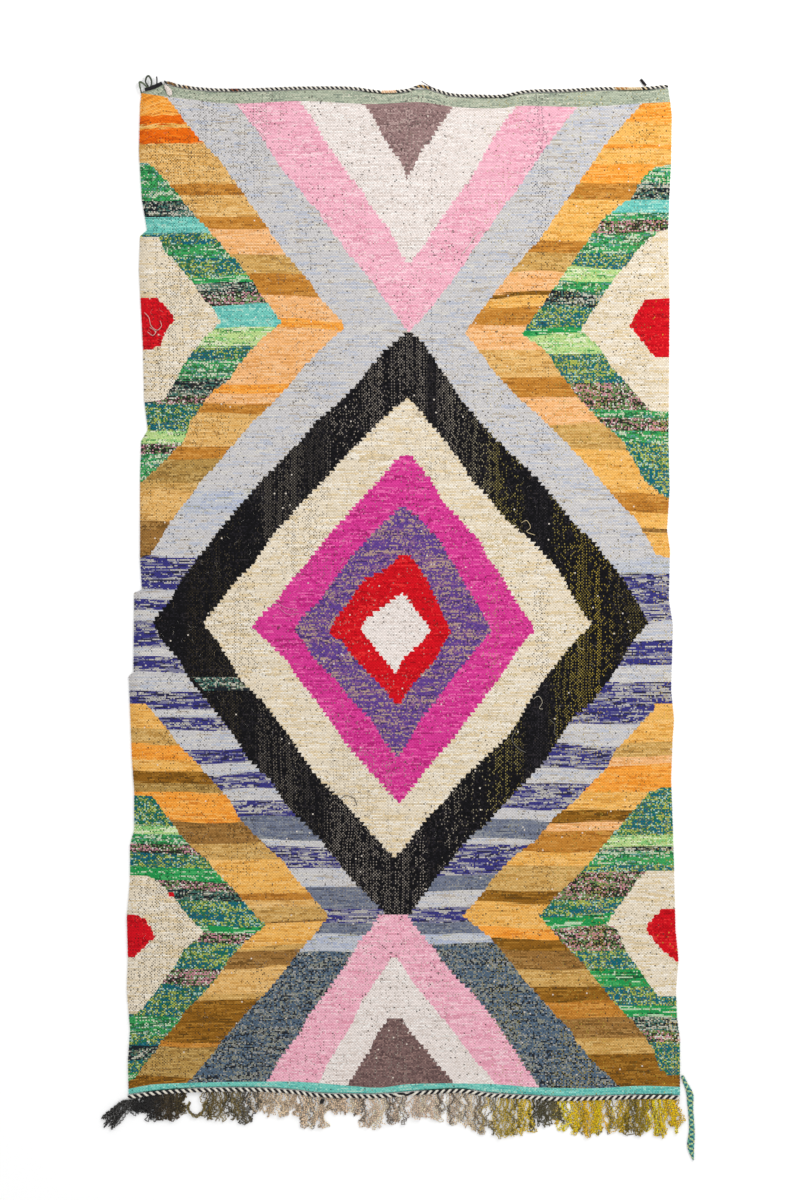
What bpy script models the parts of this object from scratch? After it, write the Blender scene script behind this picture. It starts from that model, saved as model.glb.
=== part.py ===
"""A flat-woven wool rug lying flat: the cloth, its two twined end cords, a looped fringe and a braided tail.

Metres, +Z up. The rug lies on the plane z = 0 with its fringe towards -Y. The origin is on the
underside, at the middle of the cloth. Tables are in millimetres.
"""

import math
import random

import bmesh
import bpy
from mathutils import Vector

MM = 0.001
GAP = 0.0003

# The cloth: its thickness, half its length between straight ends, how far from the ends its rows
# start to bend with the cords, and the rounding of its edges
CLOTH_THICK = 0.005
CLOTH_HALF = 1.357
END_WAVE_REACH = 0.25
EDGE_ROUND = 0.0015

# The unevenness of its face: how high, how many waves across and along, and how they bend and start
UNEVEN = 0.0004
WAVES_ACROSS = 9
WAVES_ALONG = 11
WAVE_BENDS = 7
WAVE_BENDING = 1.4
WAVE_START = 0.8

# How finely the cloth is divided: columns, extra columns of the end rows, and the spacing of rows
COLUMNS = 12
END_POINTS = 8
LONGEST_ROW = 0.085
SHORTEST_ROW = 0.005
PLAIN_END_ROW = 0.02

# The twined cords: width, height, length of one stitch, and where they start and end across the rug
TOP_CORD = {"width": 0.009, "height": 0.008, "stitch": 0.0125, "start": -0.648, "end": 0.711}
BOTTOM_CORD = {"width": 0.0125, "height": 0.0095, "stitch": 0.0172, "start": -0.745, "end": 0.741}
GROOVE = 0.8
CORD_CLEARANCE = 0.0009

# How far the ridges lean: a share of a stitch, the top cord's own lean, and the width of the bottom
# cord's middle stretch in which the lean changes over from one side to the other
SLANT_SHARE = 0.45
TOP_SLANT = 0.9
SLANT_CHANGE = 0.03
CORD_STEP = 0.001

# The fringe: its backing strip and the locks that grow out of it
STRIP_DEPTH = 0.007
STRIP_HEIGHT = 0.0045
STRIP_MARGIN = 0.001
STRIP_END = 0.742
LOCK_SPACING = 0.0105
TIP_GATHER = 0.93
LOCK_SHARE = 0.8
LOCK_STEPS = 5
TIP_SHARE = 0.6
TIP_HEIGHT = 0.003
KINK = 0.0022
KINK_TURNS = 7.5
KINK_EASE = 1.4
KINK_DRIFT = 30.0
KINK_CHANCE = 0.3
TIP_SPREAD = 0.006
FRINGE_SEED = 7

# Left selvedge: distance up the rug, and place across it
LEFT_SELVEDGE = (
    (1345, -711),
    (1326, -714),
    (1190, -717),
    (1056, -709),
    (975, -695),
    (958, -714),
    (867, -717),
    (651, -706),
    (516, -703),
    (435, -693),
    (405, -711),
    (300, -714),
    (84, -714),
    (3, -709),
    (-4, -730),
    (-219, -732),
    (-230, -745),
    (-267, -743),
    (-456, -736),
    (-537, -730),
    (-645, -730),
    (-686, -741),
    (-780, -741),
    (-883, -750),
    (-996, -747),
    (-1077, -750),
    (-1185, -741),
    (-1266, -747),
    (-1361, -745),
)

# Right selvedge: distance up the rug, and place across it
RIGHT_SELVEDGE = (
    (1358, 712),
    (1326, 717),
    (1285, 722),
    (1150, 720),
    (1056, 715),
    (975, 712),
    (786, 716),
    (408, 713),
    (273, 716),
    (165, 709),
    (111, 717),
    (-24, 714),
    (-92, 725),
    (-267, 720),
    (-348, 728),
    (-402, 724),
    (-510, 720),
    (-645, 725),
    (-753, 728),
    (-915, 732),
    (-996, 740),
    (-1077, 733),
    (-1150, 736),
    (-1212, 744),
    (-1361, 744),
)

# Middle line of the top twined cord: place across the rug, and distance up it
TOP_LINE = (
    (-725, 1347),
    (-698, 1357),
    (-652, 1374),
    (-612, 1365),
    (-558, 1357),
    (-490, 1353),
    (-409, 1354),
    (-298, 1358),
    (-188, 1359),
    (-134, 1357),
    (-61, 1348),
    (12, 1353),
    (39, 1363),
    (72, 1357),
    (126, 1341),
    (198, 1337),
    (263, 1337),
    (320, 1348),
    (358, 1351),
    (431, 1352),
    (539, 1357),
    (639, 1357),
    (706, 1363),
    (725, 1363),
)

# Middle line of the bottom twined cord: place across the rug, and distance up it
BOTTOM_LINE = (
    (-760, -1369),
    (-741, -1366),
    (-647, -1353),
    (-512, -1347),
    (-393, -1347),
    (-298, -1353),
    (-242, -1361),
    (-134, -1364),
    (-66, -1364),
    (50, -1355),
    (155, -1350),
    (225, -1361),
    (344, -1368),
    (431, -1372),
    (576, -1368),
    (695, -1366),
    (760, -1370),
)

# Tufts of the fringe: first and last root, how far down the first and last tips reach, and the
# sideways drift of the tips
TUFTS = (
    (-729, -668, -1424, -1404, -4),
    (-666, -628, -1427, -1429, -3),
    (-625, -590, -1424, -1405, 2),
    (-531, -485, -1424, -1431, -3),
    (-482, -444, -1433, -1434, 3),
    (-439, -414, -1441, -1434, 2),
    (-404, -350, -1409, -1415, 0),
    (-347, -285, -1417, -1423, 2),
    (-282, -212, -1455, -1444, 4),
    (-185, -153, -1415, -1414, 0),
    (-147, -117, -1420, -1419, 2),
    (-112, -55, -1455, -1453, -2),
    (-53, 9, -1434, -1441, 0),
    (26, 69, -1428, -1428, 2),
    (72, 104, -1431, -1430, 0),
    (117, 163, -1442, -1440, -2),
    (169, 244, -1455, -1471, 2),
    (258, 301, -1474, -1472, -2),
    (304, 347, -1470, -1468, 2),
    (358, 396, -1447, -1445, 0),
    (420, 487, -1463, -1469, 2),
    (490, 558, -1474, -1466, 0),
    (576, 620, -1466, -1468, -3),
    (622, 663, -1469, -1470, 0),
    (666, 699, -1473, -1476, 3),
    (701, 740, -1472, -1450, 13),
)

# Corner tassel at the left end of the fringe: root, bend and tip of each lock
CORNER_LOCKS = (
    ((-748, -1380), (-782, -1392), (-818, -1428)),
    ((-741, -1380), (-771, -1402), (-800, -1453)),
    ((-734, -1380), (-759, -1408), (-783, -1444)),
)
CORNER_LOCK_HALF = 0.0025
CORNER_ROOT_SHARE = 0.9

# One warp loop that stands open beside the black locks: the points that it passes through
OPEN_LOOP = ((-579, -1380), (-583, -1400), (-563, -1418), (-543, -1402), (-540, -1380))
LOOP_ROOT_HALF = 0.005
LOOP_HALF = 0.0048
LOOP_STEPS = 13

# Braided tail at the right-hand corner: place across, distance up, width
TAIL_ROUTE = (
    (750, -1309, 8),
    (757, -1326, 11),
    (765, -1343, 14),
    (771, -1360, 19),
    (772, -1380, 18),
    (773, -1403, 15),
    (775, -1428, 15),
    (776, -1454, 16),
    (775, -1476, 19),
    (773, -1497, 20),
    (776, -1518, 13),
    (780, -1537, 3),
)
TAIL_STEP = 0.006
TAIL_THICK = 0.006
PLAIT_LENGTH = 0.024
PLAIT_BULGE = 0.1
PLAIT_DROOP = 0.1

# Yarn ends at the top corners: place across, distance up, width
KNOT_BAR = ((-701, 1353, 11), (-686, 1357, 12), (-668, 1364, 13), (-654, 1371, 10))
KNOT_LOOP = ((-690, 1358, 5), (-699, 1376, 6), (-692, 1390, 7), (-683, 1378, 6), (-684, 1362, 5))
KNOT_STUB = ((-669, 1362, 6), (-668, 1380, 4), (-669, 1388, 2))
KNOT_TAIL = ((-690, 1356, 6), (-706, 1370, 7), (-715, 1372, 8), (-712, 1352, 4), (-710, 1343, 3))
KNOT_THICK = 0.0055
TUFT_ROUTE = ((-647, 1365, 5), (-641, 1357, 12), (-635, 1347, 16), (-630, 1338, 6))
TUFT_THICK = 0.004
RIGHT_TAIL = ((652, 1365, 8), (645, 1373, 10), (638, 1382, 9))
RIGHT_TAIL_THICK = 0.005

# A narrow yarn is thinner too: the share of its thickness that it always keeps, and the width that
# adds a whole one
THIN_SHARE = 0.45
FULL_WIDTH = 0.02

# The knot's ends are thinner than its bar, and each lies a little higher than the one before
KNOT_END_SHARE = 0.8
KNOT_LIFT = 0.0002

# Sections: place across from -1 to 1, and height from 0 to 1
ARCH = ((-0.72, 0.0), (0.72, 0.0), (1.0, 0.45), (0.0, 1.0), (-1.0, 0.45))
FLAT_BRAID = ((-0.75, 0.0), (0.75, 0.0), (1.0, 0.4), (0.72, 0.92), (0.0, 0.78), (-0.72, 0.92), (-1.0, 0.4))
FLAT_YARN = ((-0.8, 0.0), (0.8, 0.0), (1.0, 0.5), (0.6, 1.0), (-0.6, 1.0), (-1.0, 0.5))
LOCK_TOP_SHARE = 0.7


def clear_scene():
    for obj in list(bpy.data.objects):
        bpy.data.objects.remove(obj)


def material(name, colour, roughness=0.9):
    made = bpy.data.materials.new(name)
    made.use_nodes = True
    shader = made.node_tree.nodes["Principled BSDF"]
    shader.inputs["Base Color"].default_value = (*colour, 1.0)
    shader.inputs["Roughness"].default_value = roughness
    shader.inputs["Metallic"].default_value = 0.0
    return made


def finish(name, bm, colour):
    """Turns the faces out and makes the named object."""
    bmesh.ops.recalc_face_normals(bm, faces=bm.faces)
    mesh = bpy.data.meshes.new(name)
    bm.to_mesh(mesh)
    bm.free()
    mesh.materials.append(material(name + "_yarn", colour))
    obj = bpy.data.objects.new(name, mesh)
    bpy.context.scene.collection.objects.link(obj)
    return obj


def straight_between(table, along):
    """Reads a selvedge table at a distance up the rug, in metres, with straight runs between its rows."""
    for (high, first), (low, second) in zip(table, table[1:]):
        if along >= low * MM:
            share = (high * MM - along) / ((high - low) * MM)
            return (first + (second - first) * max(share, 0.0)) * MM
    return table[-1][1] * MM


def smooth_between(table, across):
    """Height and slope of a smooth line through a table's points, at a place across the rug in metres."""
    x = across / MM
    last = len(table) - 2
    index = next((i for i in range(last) if x < table[i + 1][0]), last)
    before = table[max(index - 1, 0)]
    start = table[index]
    end = table[index + 1]
    after = table[min(index + 2, len(table) - 1)]
    span = end[0] - start[0]
    t = min(max((x - start[0]) / span, 0.0), 1.0)
    leave = (end[1] - before[1]) / (end[0] - before[0]) * span
    arrive = (after[1] - start[1]) / (after[0] - start[0]) * span
    a = 2 * start[1] - 2 * end[1] + leave + arrive
    b = -3 * start[1] + 3 * end[1] - 2 * leave - arrive
    height = a * t**3 + b * t**2 + leave * t + start[1]
    slope = (3 * a * t**2 + 2 * b * t + leave) / span
    return height * MM, slope


def beside_line(table, across, distance):
    """A point's distance up the rug, when it keeps a distance from a cord's middle line."""
    height, slope = smooth_between(table, across)
    return height + distance * math.hypot(1.0, slope)


def top_edge(across):
    return beside_line(TOP_LINE, across, -(TOP_CORD["width"] / 2 + CORD_CLEARANCE))


def bottom_edge(across):
    return beside_line(BOTTOM_LINE, across, BOTTOM_CORD["width"] / 2 + CORD_CLEARANCE)


def cloth_point(share, row):
    """A point of the cloth in plan, from its share of the width and its row's distance up the rug."""
    across = straight_between(LEFT_SELVEDGE, row) * (1 - share)
    across += straight_between(RIGHT_SELVEDGE, row) * share
    near_top = max(0.0, 1 - (CLOTH_HALF - row) / END_WAVE_REACH)
    near_bottom = max(0.0, 1 - (row + CLOTH_HALF) / END_WAVE_REACH)
    up = row + (top_edge(across) - CLOTH_HALF) * near_top
    up += (bottom_edge(across) + CLOTH_HALF) * near_bottom
    return across, up


def cloth_rows():
    """Rows of the cloth from top to bottom: one at each bend of a selvedge, more in long stretches."""
    bends = {y * MM for y, _ in LEFT_SELVEDGE + RIGHT_SELVEDGE}
    inside = sorted(y for y in bends if abs(y) < CLOTH_HALF - PLAIN_END_ROW)
    chosen = [-CLOTH_HALF]
    for y in inside + [CLOTH_HALF]:
        if y - chosen[-1] < SHORTEST_ROW:
            continue
        start = chosen[-1]
        parts = math.ceil((y - start) / LONGEST_ROW)
        chosen += [start + (y - start) * (i + 1) / parts for i in range(parts)]
    return chosen[::-1]


def unevenness(across, up):
    """The slack and tight stretches of a hand-woven surface."""
    bend = math.sin(up * WAVE_BENDS) * WAVE_BENDING
    return UNEVEN * math.sin(across * WAVES_ACROSS + bend) * math.sin(up * WAVES_ALONG + WAVE_START)


def rim_points(rows):
    """Row and column of each point round the cloth's edge, where the end rows have more columns."""
    last = len(rows) - 1
    fine = COLUMNS * END_POINTS
    around = [(0, c) for c in range(fine)]
    around += [(r, fine) for r in range(last)]
    around += [(last, c) for c in range(fine, 0, -1)]
    around += [(r, 0) for r in range(last, 0, -1)]
    return around


def rug_cloth():
    rows = cloth_rows()
    last = len(rows) - 1
    fine = COLUMNS * END_POINTS
    bm = bmesh.new()
    top = {}
    middle = {}
    under = {}
    for r, row in enumerate(rows):
        end = (r == 0) - (r == last)
        for c in range(0, fine + 1, 1 if end else END_POINTS):
            side = (c == fine) - (c == 0)
            across, up = cloth_point(c / fine, row)
            inner = (across - side * EDGE_ROUND, up - end * EDGE_ROUND)
            if side or end:
                top[r, c] = bm.verts.new((*inner, CLOTH_THICK))
                middle[r, c] = bm.verts.new((across, up, CLOTH_THICK / 2))
                under[r, c] = bm.verts.new((*inner, 0.0))
            else:
                top[r, c] = bm.verts.new((*inner, CLOTH_THICK + unevenness(across, up)))
    for r in range(last):
        for c in range(0, fine, END_POINTS):
            upper = [top[r, k] for k in range(c, c + END_POINTS + 1) if (r, k) in top]
            lower = [top[r + 1, k] for k in range(c + END_POINTS, c - 1, -1) if (r + 1, k) in top]
            bm.faces.new(upper + lower)
        upper = [under[r, k] for k in range(fine + 1) if (r, k) in under]
        lower = [under[r + 1, k] for k in range(fine, -1, -1) if (r + 1, k) in under]
        bm.faces.new(upper + lower)
    around = rim_points(rows)
    for here, there in zip(around, around[1:] + around[:1]):
        bm.faces.new((top[here], top[there], middle[there], middle[here]))
        bm.faces.new((middle[here], middle[there], under[there], under[here]))
    return finish("rug_cloth", bm, (0.55, 0.33, 0.17))


def add_ring(bm, centre, direction, half_width, height, section, base=0.0, slant=0.0):
    """One section of a yarn: points across the direction, leaning along it by the slant."""
    side = Vector((-direction.y, direction.x))
    ring = []
    for across, up in section:
        place = centre + side * (across * half_width) + direction * (across * slant)
        ring.append(bm.verts.new((place.x, place.y, base + up * height)))
    return ring


def join_rings(bm, first, second):
    for i in range(len(first)):
        j = (i + 1) % len(first)
        bm.faces.new((first[i], first[j], second[j], second[i]))


def close_tube(bm, rings):
    for first, second in zip(rings, rings[1:]):
        join_rings(bm, first, second)
    bm.faces.new(rings[0])
    bm.faces.new(rings[-1])


def steps_along(table, start, end, step):
    """Points at even distances along a cord's middle line, each with its direction."""
    count = round((end - start) / CORD_STEP)
    stops = [start + i * CORD_STEP for i in range(count + 1)]
    places = [Vector((across, smooth_between(table, across)[0])) for across in stops]
    lengths = [0.0]
    for here, there in zip(places, places[1:]):
        lengths.append(lengths[-1] + (there - here).length)
    parts = round(lengths[-1] / step)
    found = []
    nearest = 0
    for i in range(parts + 1):
        wanted = lengths[-1] * i / parts
        while nearest < count and lengths[nearest] < wanted:
            nearest += 1
        slope = smooth_between(table, places[nearest].x)[1]
        found.append((places[nearest], Vector((1.0, slope)).normalized()))
    return found


def twined_cord(name, table, size, slant_at, colour):
    """Two yarns twined along the end of the cloth: a slanted ridge for each stitch, flat where it rests."""
    bm = bmesh.new()
    rings = []
    half_stitch = size["stitch"] / 2
    for i, (centre, direction) in enumerate(steps_along(table, size["start"], size["end"], half_stitch)):
        share = GROOVE if i % 2 else 1.0
        half_width = size["width"] / 2 * share
        height = size["height"] * share
        slant = slant_at(centre.x) * size["stitch"] * SLANT_SHARE
        rings.append(add_ring(bm, centre, direction, half_width, height, ARCH, 0.0, slant))
    close_tube(bm, rings)
    return finish(name, bm, colour)


def top_slant(across):
    """The stitches of the top cord all lean the same way."""
    return TOP_SLANT


def bottom_slant(across):
    """The stitches lean one way on the left half and the other way on the right."""
    return -math.tanh(across / SLANT_CHANGE)


def lock_path(root, tip, kink, phase):
    """A slightly kinked way from root to tip, leaving the strip square to it."""
    points = []
    for i in range(1, LOCK_STEPS + 1):
        t = i / LOCK_STEPS
        eased = t * t * (3 - 2 * t)
        wave = kink * math.sin(phase + t * KINK_TURNS) * math.sin(math.pi * min(t * KINK_EASE, 1.0))
        points.append(Vector((root.x + (tip.x - root.x) * eased + wave, root.y + (tip.y - root.y) * t)))
    return points


def bent_path(root, bend, tip, steps):
    points = []
    for i in range(1, steps + 1):
        t = i / steps
        points.append(root * (1 - t) ** 2 + bend * (2 * t * (1 - t)) + tip * t**2)
    return points


def grow_lock(bm, root_ring, path, half_width):
    """A four-sided lock that grows out of a hole in the strip's front and lies level on the floor."""
    last_ring = root_ring
    before = Vector(((root_ring[0].co + root_ring[1].co) / 2).xy)
    for i, place in enumerate(path):
        t = (i + 1) / len(path)
        ahead = path[i + 1] if i + 1 < len(path) else place
        direction = (ahead - before).normalized()
        width = half_width * (1.0 - (1.0 - TIP_SHARE) * t**3)
        height = STRIP_HEIGHT + (TIP_HEIGHT - STRIP_HEIGHT) * t
        section = ((-1.0, 0.0), (1.0, 0.0), (LOCK_TOP_SHARE, 1.0), (-LOCK_TOP_SHARE, 1.0))
        ring = add_ring(bm, place, direction, width, height, section)
        join_rings(bm, last_ring, ring)
        last_ring = ring
        before = place
    return last_ring


def fringe_locks():
    """Each lock of the tufts: its root's middle and half width, its path and its half width further on."""
    chance = random.Random(FRINGE_SEED)
    locks = []
    for first, last, first_tip, last_tip, drift in TUFTS:
        count = max(2, round((last - first) * MM / LOCK_SPACING))
        spacing = (last - first) * MM / count
        middle = (first + last) / 2 * MM
        for i in range(count):
            share = (i + 0.5) / count
            across = first * MM + share * (last - first) * MM
            tip_across = middle + (across - middle) * TIP_GATHER + drift * MM
            tip_up = (first_tip + (last_tip - first_tip) * share) * MM + chance.uniform(0, TIP_SPREAD)
            root = Vector((across, strip_front(across)))
            phase = across * KINK_DRIFT + chance.uniform(0, KINK_CHANCE)
            path = lock_path(root, Vector((tip_across, tip_up)), KINK, phase)
            locks.append((across, spacing * LOCK_SHARE / 2, path, spacing * LOCK_SHARE / 2))
    for root, bend, tip in CORNER_LOCKS:
        across = root[0] * MM
        start = Vector((across, strip_front(across)))
        path = bent_path(start, Vector(bend) * MM, Vector(tip) * MM, LOCK_STEPS + 1)
        locks.append((across, CORNER_LOCK_HALF * CORNER_ROOT_SHARE, path, CORNER_LOCK_HALF))
    return sorted(locks, key=lambda lock: lock[0])


def strip_back(across):
    return beside_line(BOTTOM_LINE, across, -(BOTTOM_CORD["width"] / 2 + CORD_CLEARANCE))


def strip_front(across):
    return strip_back(across) - STRIP_DEPTH


def bottom_fringe():
    """The narrow strip of warp roots and every lock that grows out of its front face."""
    locks = fringe_locks()
    loop_roots = (OPEN_LOOP[0][0] * MM, OPEN_LOOP[-1][0] * MM)
    roots = [(lock[0] - lock[1], lock[0] + lock[1]) for lock in locks]
    roots += [(x - LOOP_ROOT_HALF, x + LOOP_ROOT_HALF) for x in loop_roots]
    borders = sorted({edge for pair in roots for edge in pair})
    borders = [borders[0] - STRIP_MARGIN] + borders + [STRIP_END]
    open_at = {pair[0] for pair in roots}
    bm = bmesh.new()
    columns = []
    for x in borders:
        front = strip_front(x)
        back = strip_back(x)
        corners = ((front, 0.0), (front, STRIP_HEIGHT), (back, STRIP_HEIGHT), (back, 0.0))
        columns.append([bm.verts.new((x, y, z)) for y, z in corners])
    holes = {}
    for x, here, there in zip(borders, columns, columns[1:]):
        for i in range(1, 4):
            j = (i + 1) % 4
            bm.faces.new((here[i], there[i], there[j], here[j]))
        if x in open_at:
            holes[x] = (here[0], there[0], there[1], here[1])
        else:
            bm.faces.new((here[0], here[1], there[1], there[0]))
    bm.faces.new(columns[0])
    bm.faces.new(columns[-1])
    for across, root_half, path, half_width in locks:
        tip = grow_lock(bm, holes[across - root_half], path, half_width)
        bm.faces.new(tip)
    grow_open_loop(bm, holes[loop_roots[0] - LOOP_ROOT_HALF], holes[loop_roots[1] - LOOP_ROOT_HALF])
    return finish("bottom_fringe", bm, (0.22, 0.17, 0.06))


def grow_open_loop(bm, start_hole, end_hole):
    """A warp loop that leaves the strip and comes back to it."""
    route = [Vector(point) * MM for point in OPEN_LOOP]
    inner = smooth_route(route, LOOP_STEPS)[1:-1]
    before = route[0]
    ring = start_hole
    section = ((-1.0, 0.0), (1.0, 0.0), (LOCK_TOP_SHARE, 1.0), (-LOCK_TOP_SHARE, 1.0))
    for i, place in enumerate(inner):
        ahead = inner[i + 1] if i + 1 < len(inner) else route[-1]
        direction = (ahead - before).normalized()
        further = add_ring(bm, place, direction, LOOP_HALF, STRIP_HEIGHT, section)
        join_rings(bm, ring, further)
        ring = further
        before = place
    left_base, right_base, right_top, left_top = end_hole
    join_rings(bm, ring, (right_base, left_base, left_top, right_top))


def smooth_route(points, count):
    """Even points on a smooth curve through the given ones, which may have any number of values each."""
    spans = len(points) - 1
    found = []
    for i in range(count):
        place = i / (count - 1) * spans
        index = min(int(place), spans - 1)
        t = place - index
        start = points[index]
        end = points[index + 1]
        before = points[index - 1] if index else start * 2 - end
        after = points[index + 2] if index + 2 <= spans else end * 2 - start
        leave = (end - before) / 2
        arrive = (after - start) / 2
        curve = start * (2 * t**3 - 3 * t**2 + 1) + leave * (t**3 - 2 * t**2 + t)
        curve += end * (3 * t**2 - 2 * t**3) + arrive * (t**3 - t**2)
        found.append(curve)
    return found


def yarn_rings(bm, table, count, thick, section, base=0.0, bulge=None):
    """Sections of a yarn or braid along a table of place across, distance up and width."""
    route = smooth_route([Vector(row) * MM for row in table], count)
    rings = []
    for i, row in enumerate(route):
        before = route[max(i - 1, 0)]
        after = route[min(i + 1, count - 1)]
        direction = (after - before).xy.normalized()
        half_width = row.z / 2
        height = thick * min(1.0, THIN_SHARE + row.z / FULL_WIDTH)
        shaped = section if bulge is None else bulge(section, i)
        rings.append(add_ring(bm, row.xy, direction, half_width, height, shaped, base))
    return rings


def plait(section, step):
    """Lets the two sides of a braid swell in turn, as its strands cross over."""
    phase = step * TAIL_STEP / PLAIT_LENGTH * 2 * math.pi
    swell = PLAIT_BULGE * math.sin(phase)
    return [(x * (1 + (swell if x > 0 else -swell)), z * (1 - abs(x) * PLAIT_DROOP)) for x, z in section]


def braided_tail():
    bm = bmesh.new()
    route = [Vector(row[:2]) * MM for row in TAIL_ROUTE]
    length = sum((there - here).length for here, there in zip(route, route[1:]))
    rings = yarn_rings(bm, TAIL_ROUTE, round(length / TAIL_STEP), TAIL_THICK, FLAT_BRAID, 0.0, plait)
    close_tube(bm, rings)
    return finish("braided_tail", bm, (0.05, 0.28, 0.33))


def yarn_end(name, table, count, thick, base, colour):
    bm = bmesh.new()
    close_tube(bm, yarn_rings(bm, table, count, thick, FLAT_YARN, base))
    return finish(name, bm, colour)


def top_left_knot():
    """The black yarn wrapped round the corner, with its loop, its stub and its tail, in one body."""
    black = (0.012, 0.01, 0.014)
    rest = CLOTH_THICK + GAP
    knot = yarn_end("top_left_knot", KNOT_BAR, 6, KNOT_THICK, rest, black)
    ends = (("loop", KNOT_LOOP, 9), ("stub", KNOT_STUB, 4), ("tail", KNOT_TAIL, 9))
    for i, (word, table, count) in enumerate(ends):
        thick = KNOT_THICK * KNOT_END_SHARE
        end = yarn_end("knot_" + word, table, count, thick, rest + KNOT_LIFT * (i + 1), black)
        end.hide_render = True
        end.display_type = "WIRE"
        join = knot.modifiers.new(word, "BOOLEAN")
        join.operation = "UNION"
        join.object = end
    return knot


def build():
    clear_scene()
    rug_cloth()
    twined_cord("top_twined_cord", TOP_LINE, TOP_CORD, top_slant, (0.3, 0.27, 0.2))
    twined_cord("bottom_twined_cord", BOTTOM_LINE, BOTTOM_CORD, bottom_slant, (0.35, 0.34, 0.33))
    bottom_fringe()
    braided_tail()
    top_left_knot()
    yarn_end("top_left_tuft", TUFT_ROUTE, 7, TUFT_THICK, CLOTH_THICK + UNEVEN + GAP, (0.78, 0.7, 0.64))
    yarn_end("top_right_tail", RIGHT_TAIL, 4, RIGHT_TAIL_THICK, 0.0, (0.012, 0.01, 0.012))


build()
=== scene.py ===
"""Looks of a flat-woven wool rug that lies flat and is seen from straight above.

Metres, in the frame of the solids: +X across the rug, +Y along it away from the fringe, +Z up.
Tables are in millimetres, and colours are given as they look in even daylight, from 0 to 255.
"""

import math
import random

import bmesh
import bpy
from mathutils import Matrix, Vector, noise

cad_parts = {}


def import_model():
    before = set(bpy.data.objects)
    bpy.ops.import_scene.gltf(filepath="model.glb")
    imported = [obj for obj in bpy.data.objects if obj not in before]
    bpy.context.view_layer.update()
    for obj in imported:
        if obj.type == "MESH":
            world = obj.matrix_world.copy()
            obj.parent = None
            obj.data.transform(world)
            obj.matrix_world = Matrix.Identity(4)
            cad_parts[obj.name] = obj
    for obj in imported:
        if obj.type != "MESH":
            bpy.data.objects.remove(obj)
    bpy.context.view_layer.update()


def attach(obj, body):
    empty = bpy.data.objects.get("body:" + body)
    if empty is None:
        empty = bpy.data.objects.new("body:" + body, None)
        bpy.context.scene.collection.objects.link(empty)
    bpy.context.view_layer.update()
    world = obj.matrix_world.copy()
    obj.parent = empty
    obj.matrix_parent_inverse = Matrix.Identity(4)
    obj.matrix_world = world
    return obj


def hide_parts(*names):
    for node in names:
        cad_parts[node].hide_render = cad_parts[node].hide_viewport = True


MM = 0.001

# The camera looks straight down on the middle of the photograph
CAMERA_AT = (-0.01215, -0.0243, 7.655)
LENS = 85.0
SENSOR = 36.0
FARTHEST_SEEN = 100.0

# Light: an even dome and a soft lamp from beyond the top right corner
DOME_STRENGTH = 0.93
LAMP_AT = (2.3, 2.6, 2.9)
LAMP_SIZE = 2.2
LAMP_POWER = 95.0
LIGHT_GAIN = 1.07

# The white floor, whose tone is slightly uneven
FLOOR_SIZE = 14.0
FLOOR_DROP = 0.0005
FLOOR_TONE = 0.95
FLOOR_UNEVENNESS = 0.01
FLOOR_PATCH_SCALE = 3.0
FLOOR_ROUGHNESS = 0.9
FLOOR_SPECULAR = 0.1

# The cloth and its weave
CLOTH_THICK = 0.005
CLOTH_HALF = 1.357
END_WAVE_REACH = 0.25
EDGE_ROUND = 0.0015
PICK = 0.0039
WARP_ENDS = 372
TOP_COLUMNS = 48
UNDER_COLUMNS = 8
RIB = 0.00022
UNEVEN = 0.0004
PUCKER = 0.0003
TURN_BULGE = 0.0006
EDGE_ROUGH = 0.0007
TOP_CORD_WIDTH = 0.009
BOTTOM_CORD_WIDTH = 0.0125
CORD_CLEARANCE = 0.0009

# Drop of the rims below the face, slow waves of the slack, scale of the puckers, and roughness of a rim
RIM_DROP = 0.0006
SLACK_ACROSS = 9
SLACK_UP = 11
SLACK_BEND_SCALE = 7
SLACK_BEND = 1.4
SLACK_PHASE = 0.8
PUCKER_ACROSS = 14
PUCKER_UP = 22
ROUGH_SCALE = 0.21

# Size of the flat map that holds both sides next to each other
BAKE_WIDTH = 3.1
BAKE_LENGTH = 2.8

# Teeth of the joins between two colours, and how strongly plain and toothed joins step
TOOTH = 0.0118
STEP_DEPTH = 0.5
TOOTH_DEPTH = 1.0

# How dark the painted shade in the dips between stitches is, and how much darker where the warp shows
# through most
PLAIN_DIP_SHADE = 0.45
BLEND_DIP_SHADE = 0.25

# How the joins wander: sideways sway, shifts by pick and by tooth, and drift of the teeth up the rug
SWAY_SCALE = 9.0
JOIN_SWAY = 0.009
PICK_JITTER = 0.003
TOOTH_JITTER = 0.004
TOOTH_DRIFT_SCALE = 26.0
TOOTH_DRIFT = 1.6

# How the bands of colour lean, and how far each pick of them starts off its place
LEAN_SCALE = 3.2
BAND_LEAN = 0.04
ROW_SHIFT = 0.006

# Runs of one colour along a pick, in stitches, and the wide patches in which a colour gets scarcer
RUN_LENGTHS = 12.0
SHORTEST_RUN = 3.0
RUN_OFFSET = 7.0
PATCH_STRETCH = (4.0, 34.0)
PATCH_SCALE = 1.6

# The draws from which a stitch takes its yarn's third and its fourth colour
THIRD_COLOUR_FROM = 0.45
FOURTH_COLOUR_FROM = 0.84

# Slight shades: the darkest, then how much a stitch, a pick, a wide area and a patch add
DARKEST_SHADE = 0.78
STITCH_SHADE = 0.16
PICK_SHADE = 0.07
WIDE_SHADE = 0.09
PATCH_SHADE = 0.09
WIDE_SCALE = 2.3

# Relief of the weave: how much of a pick's height its floats make, how round it is, and its depth
FLOAT_SHARE = 0.62
PICK_ROUNDNESS = 0.6
# Tone of the stitches' tops, from which the painted shade darkens towards the dips
STITCH_TOP = 1.16
CLOTH_RELIEF = 0.0011

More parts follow.
